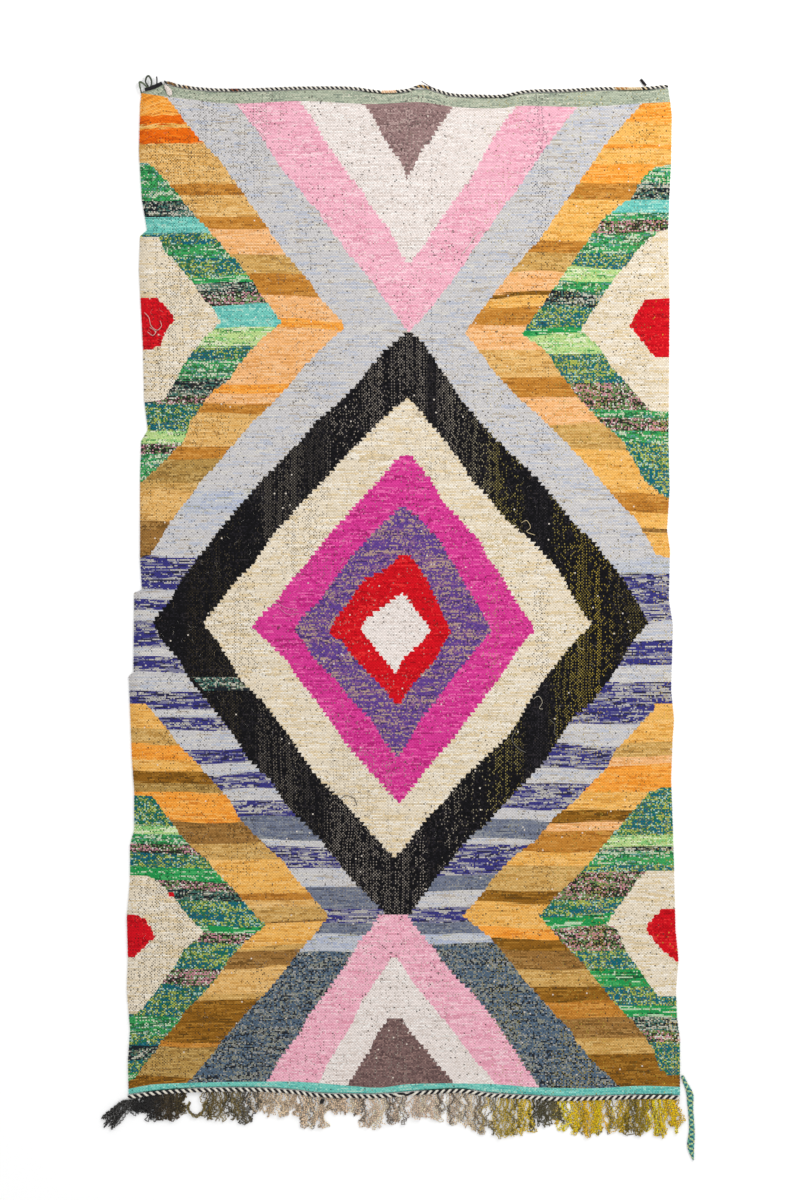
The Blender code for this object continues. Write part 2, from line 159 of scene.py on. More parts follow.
# Dark burrs and pale neps: their scale, gain and offset, share of the stitches, strength and colours
BURR_SCALE = 6.0
BURR_GAIN = 0.06
BURR_OFFSET = -0.0235
NEP_CHANCE = 0.0012
SPOT_STRENGTH = 0.8
BURR_COLOUR = (52, 44, 40)
NEP_COLOUR = (232, 222, 208)

# Fine fibres along the picks, and the matt surface that they make
FIBRE_STRETCH = (260.0, 900.0)
FIBRE_SHADE = 0.16
FIBRE_RELIEF = 0.3
CLOTH_ROUGHNESS = 0.82
ROUGHNESS_SPREAD = 0.12
CLOTH_SPECULAR = 0.12
CLOTH_SHEEN = 0.03
SHEEN_ROUGHNESS = 0.5

# How much of its stitch a warp end covers where it shows
SPECK_HALF_WIDTH = 0.31
SPECK_HALF_LENGTH = 0.42

# Tone of each warp end: the darkest, and how much paler the palest is
DARKEST_END = 0.5
END_TONES = 0.7

# Where the warp shows more: stretch, gain and offset of the zones, and how uneven its ends are
ZONE_STRETCH = (9.0, 2.6)
ZONE_GAIN = 3.6
ZONE_OFFSET = -1.3
ZONE_CHANCE = 0.8
LEAST_CHANCE = 0.1
END_UNEVENNESS = 2.5
END_CHANCE = 1.9
LEAST_END_CHANCE = 0.4
WARP_SPAN = 760

# Seeds of the random values
PICK_SEED = 3.0
LEAN_SEED = 5.0
TOOTH_SEED = 7.0
RUN_SEED = 11.0
WARP_SEED = 23.0
SPOT_SEED = 31.0
ZONE_SEED = 4.0

# Left selvedge: distance up the rug, and place across it
LEFT_SELVEDGE = (
    (1345, -711), (1326, -714), (1190, -717), (1056, -709), (975, -695), (958, -714), (867, -717),
    (651, -706), (516, -703), (435, -693), (405, -711), (300, -714), (84, -714), (3, -709), (-4, -730),
    (-219, -732), (-230, -745), (-267, -743), (-456, -736), (-537, -730), (-645, -730), (-686, -741),
    (-780, -741), (-883, -750), (-996, -747), (-1077, -750), (-1185, -741), (-1266, -747), (-1361, -745),
)

# Right selvedge: distance up the rug, and place across it
RIGHT_SELVEDGE = (
    (1358, 712), (1326, 717), (1285, 722), (1150, 720), (1056, 715), (975, 712), (786, 716), (408, 713),
    (273, 716), (165, 709), (111, 717), (-24, 714), (-92, 725), (-267, 720), (-348, 728), (-402, 724),
    (-510, 720), (-645, 725), (-753, 728), (-915, 732), (-996, 740), (-1077, 733), (-1150, 736),
    (-1212, 744), (-1361, 744),
)

# Middle line of the top twined cord: place across the rug, and distance up it
TOP_LINE = (
    (-725, 1347), (-698, 1357), (-652, 1374), (-612, 1365), (-558, 1357), (-490, 1353), (-409, 1354),
    (-298, 1358), (-188, 1359), (-134, 1357), (-61, 1348), (12, 1353), (39, 1363), (72, 1357),
    (126, 1341), (198, 1337), (263, 1337), (320, 1348), (358, 1351), (431, 1352), (539, 1357),
    (639, 1357), (706, 1363), (725, 1363),
)

# Middle line of the bottom twined cord: place across the rug, and distance up it
BOTTOM_LINE = (
    (-760, -1369), (-741, -1366), (-647, -1353), (-512, -1347), (-393, -1347), (-298, -1353),
    (-242, -1361), (-134, -1364), (-66, -1364), (50, -1355), (155, -1350), (225, -1361), (344, -1368),
    (431, -1372), (576, -1368), (695, -1366), (760, -1370),
)

# Inner edges of the woven end bands: place across the rug, and distance up it
SAGE_LINE = (
    (-747, 1350), (-711, 1345), (-647, 1335), (-606, 1331), (-471, 1316), (-282, 1323), (-134, 1316),
    (-66, 1315), (42, 1320), (136, 1307), (258, 1303), (312, 1310), (474, 1307), (636, 1316),
    (711, 1320), (771, 1323),
)
TURQUOISE_LINE = (
    (-768, -1350), (-747, -1345), (-687, -1333), (-579, -1328), (-417, -1325), (-282, -1325),
    (-147, -1336), (-66, -1341), (15, -1331), (231, -1331), (339, -1339), (420, -1342), (528, -1342),
    (636, -1336), (771, -1340),
)

# The dyed yarns: four colours spun or plied together, then the first one's share, the share that
# runs on along a pick instead of changing at each stitch, and how far the warp shows through
YARNS = {
    "cream": ((234, 220, 196), (228, 206, 166), (243, 234, 218), (218, 200, 168), 0.56, 0.85, 0.3),
    "white": ((238, 227, 221), (230, 217, 209), (245, 239, 234), (216, 202, 194), 0.65, 0.6, 0.26),
    "pink": ((244, 182, 199), (236, 163, 184), (249, 204, 214), (228, 154, 174), 0.6, 0.7, 0.2),
    "mauve": ((156, 126, 124), (136, 108, 106), (182, 154, 150), (114, 90, 90), 0.5, 0.4, 0.3),
    "black": ((15, 14, 18), (9, 9, 12), (28, 26, 32), (44, 40, 44), 0.6, 0.3, 1.0),
    "plum": ((126, 99, 96), (108, 84, 82), (150, 120, 114), (92, 70, 70), 0.5, 0.4, 0.3),
    "magenta": ((218, 58, 148), (200, 38, 130), (236, 100, 170), (176, 34, 112), 0.6, 0.7, 0.16),
    "violet": ((96, 64, 142), (178, 148, 138), (134, 92, 140), (70, 48, 104), 0.45, 0.5, 0.2),
    "red": ((212, 8, 26), (190, 2, 18), (230, 42, 44), (166, 2, 16), 0.65, 0.6, 0.1),
    "sage": ((178, 186, 164), (158, 168, 148), (196, 200, 178), (140, 150, 134), 0.5, 0.7, 0.38),
    "turquoise": ((116, 202, 188), (144, 216, 202), (90, 180, 172), (172, 220, 204), 0.5, 0.6, 0.16),
    "light_gold": ((230, 182, 110), (238, 196, 130), (214, 160, 82), (196, 146, 78), 0.5, 0.8, 0.25),
    "gold": ((242, 184, 96), (248, 196, 118), (232, 166, 72), (212, 150, 66), 0.5, 0.8, 0.2),
    "deep_orange": ((236, 108, 10), (244, 130, 32), (218, 92, 4), (202, 84, 8), 0.6, 0.8, 0.06),
    "orange": ((248, 164, 64), (250, 182, 94), (238, 146, 42), (220, 132, 44), 0.5, 0.8, 0.16),
    "peach": ((246, 186, 126), (250, 200, 148), (238, 172, 102), (224, 156, 88), 0.5, 0.8, 0.2),
    "caramel": ((198, 132, 50), (212, 150, 70), (182, 116, 38), (160, 102, 36), 0.5, 0.8, 0.2),
    "ochre": ((212, 168, 96), (198, 150, 76), (224, 184, 116), (176, 132, 66), 0.5, 0.8, 0.3),
    "olive": ((184, 146, 78), (168, 128, 64), (200, 164, 98), (146, 112, 56), 0.5, 0.8, 0.35),
    "brown": ((158, 113, 56), (138, 97, 44), (176, 133, 74), (116, 82, 36), 0.5, 0.7, 0.28),
    "dark_brown": ((148, 98, 26), (126, 83, 18), (170, 119, 42), (104, 70, 18), 0.5, 0.8, 0.22),
    "green": ((60, 164, 90), (202, 218, 186), (40, 112, 66), (96, 154, 146), 0.38, 0.6, 0.5),
    "navy": ((28, 36, 44), (196, 196, 180), (70, 118, 106), (112, 124, 96), 0.42, 0.45, 0.6),
    "blue": ((20, 106, 124), (176, 192, 92), (36, 116, 80), (176, 208, 188), 0.38, 0.3, 0.95),
    "lime": ((190, 218, 142), (142, 202, 122), (222, 232, 192), (88, 154, 86), 0.5, 0.7, 0.3),
    "leaf": ((34, 152, 78), (72, 176, 100), (186, 214, 176), (20, 92, 54), 0.55, 0.85, 0.3),
    "pink_black": ((42, 46, 38), (208, 146, 156), (112, 144, 88), (218, 218, 204), 0.38, 0.35, 0.95),
    "pale": ((206, 203, 203), (190, 194, 206), (216, 212, 206), (190, 180, 168), 0.62, 0.9, 0.26),
    "cobalt": ((57, 54, 126), (186, 182, 178), (128, 126, 154), (44, 42, 74), 0.4, 0.85, 0.35),
    "slate": ((118, 124, 142), (100, 108, 130), (142, 146, 152), (84, 88, 104), 0.5, 0.7, 0.25),
    "dark_slate": ((84, 104, 124), (32, 38, 48), (140, 142, 130), (158, 158, 156), 0.42, 0.3, 0.5),
    "mist": ((194, 197, 205), (178, 186, 208), (208, 207, 204), (172, 172, 160), 0.55, 0.85, 0.22),
}

# Bands of each block: the distance up the rug where a yarn starts, going down
GOLD_NORTH_WEST = (
    (1334, "orange"), (1288, "deep_orange"), (1264, "gold"), (1250, "deep_orange"), (1212, "light_gold"),
    (1102, "caramel"), (1075, "light_gold"), (1015, "caramel"), (980, "peach"), (910, "ochre"),
    (859, "caramel"), (799, "peach"), (734, "orange"), (713, "peach"), (559, "orange"),
    (540, "peach"), (518, "caramel"), (489, "light_gold"), (394, "caramel"), (359, "olive"),
    (294, "ochre"), (273, "light_gold"), (194, "brown"),
)
GOLD_NORTH_EAST = (
    (1315, "orange"), (1269, "gold"), (1212, "orange"), (1196, "gold"), (1153, "orange"),
    (1099, "caramel"), (1058, "gold"), (948, "caramel"), (915, "ochre"), (861, "peach"),
    (805, "dark_brown"), (794, "gold"), (767, "caramel"), (718, "peach"), (651, "light_gold"),
    (580, "caramel"), (529, "peach"), (454, "ochre"), (381, "gold"), (265, "caramel"), (216, "gold"),
    (173, "brown"), (159, "gold"),
)
GOLD_SOUTH_WEST = (
    (-302, "gold"), (-364, "ochre"), (-408, "orange"), (-451, "gold"), (-486, "dark_brown"),
    (-513, "olive"), (-540, "orange"), (-618, "brown"), (-678, "ochre"),
    (-721, "gold"), (-805, "caramel"), (-824, "light_gold"), (-842, "ochre"), (-883, "brown"),
    (-891, "gold"),
    (-956, "ochre"), (-967, "brown"), (-1013, "light_gold"), (-1083, "ochre"), (-1102, "dark_brown"),
    (-1210, "caramel"), (-1226, "olive"), (-1315, "dark_brown"),
)
GOLD_SOUTH_EAST = (
    (-305, "gold"), (-402, "ochre"), (-440, "peach"), (-462, "orange"), (-535, "gold"),
    (-583, "dark_brown"), (-618, "peach"), (-643, "caramel"), (-705, "gold"), (-745, "ochre"),
    (-810, "dark_brown"), (-842, "gold"), (-910, "orange"), (-937, "dark_brown"), (-964, "brown"),
    (-1021, "ochre"), (-1064, "dark_brown"), (-1104, "caramel"), (-1150, "brown"), (-1204, "ochre"),
    (-1245, "dark_brown"),
)
GREEN_NORTH_WEST = (
    (1150, "green"), (1053, "navy"), (1010, "turquoise"), (967, "blue"), (937, "green"), (899, "blue"),
    (850, "leaf"), (834, "navy"), (805, "pink_black"), (772, "turquoise"), (713, "lime"), (662, "blue"),
    (629, "green"), (575, "navy"), (535, "pink_black"), (513, "blue"), (437, "lime"),
    (402, "pink_black"), (375, "green"),
)
GREEN_NORTH_EAST = (
    (1150, "green"), (1104, "navy"), (1053, "turquoise"), (1021, "green"), (999, "pink_black"),
    (967, "green"), (915, "blue"), (878, "lime"), (840, "green"), (810, "navy"), (767, "blue"),
    (707, "leaf"), (691, "lime"), (640, "blue"), (564, "pink_black"), (491, "green"),
    (467, "pink_black"), (437, "green"), (402, "blue"),
)
GREEN_SOUTH_WEST = (
    (-554, "blue"), (-629, "lime"), (-656, "green"), (-683, "pink_black"), (-710, "blue"),
    (-745, "leaf"), (-778, "pink_black"), (-804, "navy"), (-826, "blue"), (-899, "leaf"),
    (-915, "pink_black"), (-945, "blue"), (-1015, "pink_black"), (-1056, "blue"), (-1148, "green"),
    (-1199, "blue"), (-1228, "navy"), (-1270, "blue"), (-1307, "leaf"),
)
GREEN_SOUTH_EAST = (
    (-497, "blue"), (-662, "lime"), (-694, "navy"), (-707, "green"), (-742, "blue"),
    (-761, "pink_black"), (-832, "blue"), (-875, "leaf"), (-905, "pink_black"), (-969, "blue"),
    (-1015, "leaf"), (-1064, "blue"), (-1120, "leaf"), (-1150, "navy"), (-1185, "pink_black"),
    (-1215, "blue"),
)
FIELD_WEST = (
    (1380, "pale"), (273, "mist"), (213, "pale"), (100, "cobalt"), (5, "pale"), (-22, "cobalt"),
    (-59, "pale"), (-81, "cobalt"), (-159, "pale"), (-181, "cobalt"), (-224, "pale"), (-273, "cobalt"),
    (-313, "pale"), (-338, "cobalt"), (-362, "pale"), (-416, "cobalt"), (-462, "pale"),
    (-494, "cobalt"), (-526, "pale"), (-564, "cobalt"), (-605, "slate"), (-662, "pale"),
    (-688, "cobalt"), (-734, "pale"), (-786, "slate"), (-848, "cobalt"), (-894, "slate"),
    (-929, "mist"), (-971, "dark_slate"),
)
FIELD_EAST = (
    (1380, "pale"), (84, "mist"), (51, "cobalt"), (-81, "pale"), (-132, "cobalt"), (-205, "pale"),
    (-246, "cobalt"), (-356, "pale"), (-402, "cobalt"), (-467, "pale"), (-513, "cobalt"),
    (-578, "pale"), (-610, "slate"), (-662, "pale"), (-688, "cobalt"), (-770, "slate"), (-807, "pale"),
    (-850, "cobalt"), (-894, "slate"), (-921, "mist"), (-956, "dark_slate"),
)

# Outlines of the nested lozenges and chevrons, from the outermost to the innermost. Each row gives a
# distance up the rug and the places across it of the left and the right edge
TOP_PINK = (
    (1358, -493, 501), (1245, -398, 417), (1137, -331, 339), (1110, -304, 323), (1056, -263, 282),
    (1029, -234, 261), (1002, -220, 244), (813, -72, 109), (732, -12, 45), (702, 9, 15),
)
TOP_WHITE = (
    (1358, -309, 339), (1299, -269, 293), (1272, -244, 274), (1218, -217, 236), (1110, -139, 177),
    (1083, -115, 153), (1056, -101, 136), (975, -42, 77), (921, -15, 47), (883, 7, 12),
)
TOP_MAUVE = (
    (1358, -144, 169), (1318, -117, 136), (1272, -80, 109), (1245, -69, 85), (1218, -53, 72),
    (1191, -34, 47), (1164, -12, 34), (1115, 7, 9),
)
LOW_PINK = (
    (-848, -34, -7), (-875, -66, 9), (-915, -93, 34), (-942, -120, 58), (-969, -131, 85),
    (-996, -150, 99), (-1050, -185, 147), (-1077, -207, 177), (-1158, -266, 244), (-1185, -277, 261),
    (-1266, -339, 315), (-1374, -401, 385),
)
LOW_WHITE = (
    (-988, -28, -20), (-996, -39, -15), (-1077, -93, 39), (-1104, -112, 63), (-1158, -136, 107),
    (-1266, -201, 190), (-1293, -215, 217), (-1374, -252, 271),
)
LOW_MAUVE = (
    (-1150, -31, -15), (-1158, -45, -7), (-1196, -74, 20), (-1239, -93, 58), (-1374, -180, 171),
)
BLACK_LOZENGE = (
    (702, 12, 12), (678, -20, 45), (645, -61, 69), (570, -117, 120), (516, -171, 153), (462, -234, 201),
    (408, -279, 247), (300, -385, 363), (192, -479, 450), (138, -520, 504), (30, -603, 595),
    (-24, -633, 625), (-84, -682, 660), (-132, -655, 620), (-186, -609, 587), (-240, -579, 555),
    (-294, -539, 512), (-348, -493, 450), (-456, -420, 382), (-510, -363, 331), (-564, -331, 277),
    (-618, -282, 234), (-672, -225, 169), (-780, -142, 82), (-875, -50, 12),
)
CREAM_LOZENGE = (
    (518, 7, 15), (489, -34, 39), (354, -169, 150), (300, -217, 182), (246, -271, 231),
    (192, -317, 274), (138, -366, 339), (84, -398, 393), (30, -452, 433), (-24, -495, 458),
    (-89, -544, 506), (-132, -506, 463), (-240, -441, 377), (-294, -387, 339), (-348, -344, 309),
    (-402, -306, 269), (-510, -228, 153), (-564, -171, 109), (-618, -120, 55), (-699, -47, -4),
    (-716, -28, -23),
)
MAGENTA_LOZENGE = (
    (370, 4, 12), (354, -26, 28), (300, -66, 72), (246, -120, 99), (138, -215, 201), (84, -258, 228),
    (30, -304, 269), (-24, -344, 298), (-78, -398, 339), (-97, -412, 347), (-111, -398, 347),
    (-132, -374, 325), (-186, -320, 290), (-240, -282, 255), (-348, -201, 169), (-402, -169, 126),
    (-570, -18, -12),
)
VIOLET_LOZENGE = (
    (230, -7, -4), (192, -50, 45), (138, -104, 93), (84, -150, 126), (-24, -228, 190), (-78, -282, 220),
    (-105, -301, 234), (-132, -277, 215), (-186, -242, 169), (-240, -185, 128), (-294, -144, 88),
    (-348, -88, 42), (-402, -61, 12), (-446, -20, -15),
)
RED_LOZENGE = (
    (94, -12, 18), (57, -55, 42), (30, -107, 61), (-78, -188, 112), (-116, -207, 126),
    (-132, -171, 112), (-186, -131, 82), (-267, -53, 12), (-310, -23, -18),
)
WHITE_LOZENGE = (
    (-5, -7, -4), (-78, -107, 53), (-105, -120, 69), (-132, -96, 53), (-186, -55, -7), (-219, -26, -20),
)
FLECKED_PICKS = ((-230, -575, -458), (-245, -560, -440), (-268, -545, -412))
CRIMSON_PATCH = ((-812, -640, -628), (-826, -638, -622))

# Inner edges of the half lozenges along the two sides: distance up the rug, and place across it
GOLD_EDGE_NORTH_WEST = (
    (1364, -668), (1218, -552), (1164, -501), (894, -309), (840, -261), (786, -225), (732, -171),
    (710, -161), (678, -201), (624, -255), (570, -298), (516, -347), (462, -406), (354, -495),
    (300, -547), (192, -628), (97, -687), (89, -714), (84, -849),
)
GREEN_EDGE_NORTH_WEST = (
    (1158, -849), (1156, -693), (1110, -644), (1002, -555), (894, -455), (724, -331), (678, -390),
    (624, -439), (570, -471), (543, -512), (516, -536), (462, -576), (408, -595), (381, -620),
    (300, -701), (259, -795),
)
CREAM_EDGE_NORTH_WEST = (
    (959, -849), (956, -666), (921, -649), (840, -579), (786, -541), (759, -514), (726, -495),
    (678, -547), (624, -587), (516, -647), (502, -849),
)
RED_EDGE_NORTH_WEST = (
    (796, -849), (794, -671), (745, -625), (732, -620), (705, -641), (662, -660), (621, -795),
)
GOLD_EDGE_SOUTH_WEST = (
    (-302, -849), (-305, -698), (-348, -660), (-402, -622), (-456, -568), (-564, -474), (-618, -444),
    (-726, -333), (-880, -204), (-969, -282), (-1050, -342), (-1185, -468), (-1266, -531),
    (-1374, -628),
)
GREEN_EDGE_SOUTH_WEST = (
    (-551, -849), (-554, -682), (-672, -593), (-726, -533), (-888, -390), (-899, -371), (-942, -425),
    (-996, -474), (-1050, -509), (-1104, -558), (-1131, -590), (-1158, -606), (-1212, -655),
    (-1239, -668), (-1320, -733), (-1353, -809),
)
CREAM_EDGE_SOUTH_WEST = (
    (-767, -849), (-770, -687), (-780, -671), (-834, -617), (-861, -601), (-915, -547), (-926, -544),
    (-969, -595), (-996, -609), (-1131, -709), (-1142, -725), (-1148, -849),
)
RED_EDGE_SOUTH_WEST = (
    (-872, -795), (-878, -714), (-888, -698), (-934, -674), (-986, -725), (-999, -782),
)
GOLD_EDGE_NORTH_EAST = (
    (1366, 676), (1318, 641), (1218, 552), (948, 363), (867, 290), (697, 161), (570, 263), (516, 315),
    (462, 377), (300, 531), (246, 571), (192, 628), (97, 679), (89, 714), (86, 852),
)
GREEN_EDGE_NORTH_EAST = (
    (1158, 798), (1153, 711), (1142, 671), (1110, 639), (1056, 609), (1042, 582), (1002, 533),
    (694, 317), (651, 379), (516, 474), (462, 525), (408, 585), (300, 647), (254, 703), (240, 798),
)
CREAM_EDGE_NORTH_EAST = (
    (983, 798), (977, 701), (948, 655), (840, 563), (705, 474), (651, 533), (624, 547), (489, 663),
    (481, 798),
)
RED_EDGE_NORTH_EAST = (
    (791, 798), (786, 649), (716, 609), (632, 674), (626, 798),
)
GOLD_EDGE_SOUTH_EAST = (
    (-302, 798), (-305, 676), (-321, 674), (-429, 571), (-483, 544), (-510, 512), (-564, 463),
    (-618, 398), (-672, 358), (-726, 285), (-780, 236), (-834, 196), (-875, 155), (-942, 239),
    (-1050, 323), (-1158, 420), (-1185, 450), (-1212, 460), (-1266, 506), (-1374, 617),
)
GREEN_EDGE_SOUTH_EAST = (
    (-524, 798), (-529, 711), (-540, 663), (-780, 458), (-807, 423), (-875, 363), (-942, 420),
    (-996, 474), (-1104, 560), (-1158, 614), (-1239, 674), (-1293, 693), (-1307, 711), (-1315, 798),
)
CREAM_EDGE_SOUTH_EAST = (
    (-753, 798), (-756, 657), (-780, 628), (-834, 593), (-861, 568), (-899, 549), (-915, 574),
    (-969, 598), (-1094, 684), (-1099, 798),
)
RED_EDGE_SOUTH_EAST = (
    (-859, 798), (-861, 693), (-902, 655), (-915, 649), (-969, 695), (-999, 736), (-1002, 798),
)

# What is woven over what: yarn, whether its edge is toothed, outline
CHEVRONS = (
    ("pink", False, TOP_PINK), ("white", True, TOP_WHITE), ("mauve", True, TOP_MAUVE),
    ("pink", True, LOW_PINK), ("white", False, LOW_WHITE), ("plum", True, LOW_MAUVE),
)
LOZENGES = (
    ("black", True, BLACK_LOZENGE), ("navy", False, FLECKED_PICKS), ("cream", True, CREAM_LOZENGE),
    ("magenta", True, MAGENTA_LOZENGE), ("violet", True, VIOLET_LOZENGE), ("red", True, RED_LOZENGE),
    ("white", True, WHITE_LOZENGE), ("red", False, CRIMSON_PATCH),
)
WEST_SIDE = (
    (GOLD_NORTH_WEST, GOLD_EDGE_NORTH_WEST), (GREEN_NORTH_WEST, GREEN_EDGE_NORTH_WEST),
    ("cream", CREAM_EDGE_NORTH_WEST), ("red", RED_EDGE_NORTH_WEST),
    (GOLD_SOUTH_WEST, GOLD_EDGE_SOUTH_WEST), (GREEN_SOUTH_WEST, GREEN_EDGE_SOUTH_WEST),
    ("cream", CREAM_EDGE_SOUTH_WEST), ("red", RED_EDGE_SOUTH_WEST),
)
EAST_SIDE = (
    (GOLD_NORTH_EAST, GOLD_EDGE_NORTH_EAST), (GREEN_NORTH_EAST, GREEN_EDGE_NORTH_EAST),
    ("cream", CREAM_EDGE_NORTH_EAST), ("red", RED_EDGE_NORTH_EAST),
    (GOLD_SOUTH_EAST, GOLD_EDGE_SOUTH_EAST), (GREEN_SOUTH_EAST, GREEN_EDGE_SOUTH_EAST),
    ("cream", CREAM_EDGE_SOUTH_EAST), ("red", RED_EDGE_SOUTH_EAST),
)

# Colours of the warp, which shows between the stitches: place across, colour
WARP_COLOURS = (
    (-760, (26, 24, 25)), (-593, (28, 26, 25)), (-579, (72, 62, 44)), (-446, (84, 76, 58)),
    (-433, (56, 52, 50)), (-406, (58, 56, 52)), (-396, (116, 108, 98)), (-282, (128, 120, 108)),
    (-265, (88, 82, 76)), (-218, (90, 84, 78)), (-188, (168, 158, 146)), (52, (172, 162, 150)),
    (63, (56, 52, 52)), (85, (58, 54, 54)), (96, (172, 162, 150)), (204, (166, 156, 128)),
    (252, (180, 164, 92)), (312, (160, 146, 82)), (328, (54, 50, 58)), (387, (60, 56, 58)),
    (401, (156, 142, 74)), (528, (198, 172, 66)), (576, (126, 112, 62)), (657, (134, 120, 62)),
    (676, (198, 172, 60)), (760, (190, 164, 58)),
)

# Stretches where the warp shows in dense dots: from and to across, from and to up the rug
DOTTED_STRETCHES = (
    (71, 78, 650, 1180), (340, 388, 940, 1330), (349, 392, -300, 10), (-560, -372, 1060, 1330),
    (-700, -560, 960, 1230), (-700, -560, 420, 860), (-745, -560, -1140, -780), (30, 200, 300, 640),
    (-200, -30, -860, -420), (-330, -200, 40, 420),
    (-520, -400, -230, 30), (222, 256, -300, 560), (-745, -640, -1320, -1160),
    (-530, -440, -840, -740),
)
DOTTED_CHANCE = 0.3


def linear(colour):
    """A colour as it looks, from 0 to 255, turned into the light that its yarn gives back."""
    shares = [value / 255 for value in colour]
    curved = [((v + 0.055) / 1.055) ** 2.4 if v > 0.04 else v / 12.92 for v in shares]
    return tuple(v / LIGHT_GAIN for v in curved)


def straight_between(table, along):
    """Reads a table that goes down the rug at a distance up it, in metres."""
    for (high, first), (low, second) in zip(table, table[1:]):
        if along >= low * MM:
            share = (high * MM - along) / ((high - low) * MM)
            return (first + (second - first) * max(share, 0.0)) * MM
    return table[-1][1] * MM


def smooth_between(table, across):
    """Height and slope of a smooth line through a table's points, at a place across in metres."""
    x = across / MM
    last = len(table) - 2
    index = next((i for i in range(last) if x < table[i + 1][0]), last)
    before = table[max(index - 1, 0)]
    start = table[index]
    end = table[index + 1]
    after = table[min(index + 2, len(table) - 1)]
    span = end[0] - start[0]
    t = min(max((x - start[0]) / span, 0.0), 1.0)
    leave = (end[1] - before[1]) / (end[0] - before[0]) * span
    arrive = (after[1] - start[1]) / (after[0] - start[0]) * span
    a = 2 * start[1] - 2 * end[1] + leave + arrive
    b = -3 * start[1] + 3 * end[1] - 2 * leave - arrive
    height = a * t**3 + b * t**2 + leave * t + start[1]
    slope = (3 * a * t**2 + 2 * b * t + leave) / span
    return height * MM, slope


def beside_line(table, across, distance):
    height, slope = smooth_between(table, across)
    return height + distance * math.hypot(1.0, slope)


def top_edge(across):
    return beside_line(TOP_LINE, across, -(TOP_CORD_WIDTH / 2 + CORD_CLEARANCE))


def bottom_edge(across):
    return beside_line(BOTTOM_LINE, across, BOTTOM_CORD_WIDTH / 2 + CORD_CLEARANCE)


def cloth_point(share, row):
    """Plan position of a point of the cloth, from its share of the width and its row's height."""
    across = straight_between(LEFT_SELVEDGE, row) * (1 - share)
    across += straight_between(RIGHT_SELVEDGE, row) * share
    near_top = max(0.0, 1 - (CLOTH_HALF - row) / END_WAVE_REACH)
    near_bottom = max(0.0, 1 - (row + CLOTH_HALF) / END_WAVE_REACH)
    up = row + (top_edge(across) - CLOTH_HALF) * near_top
    up += (bottom_edge(across) + CLOTH_HALF) * near_bottom
    return across, up


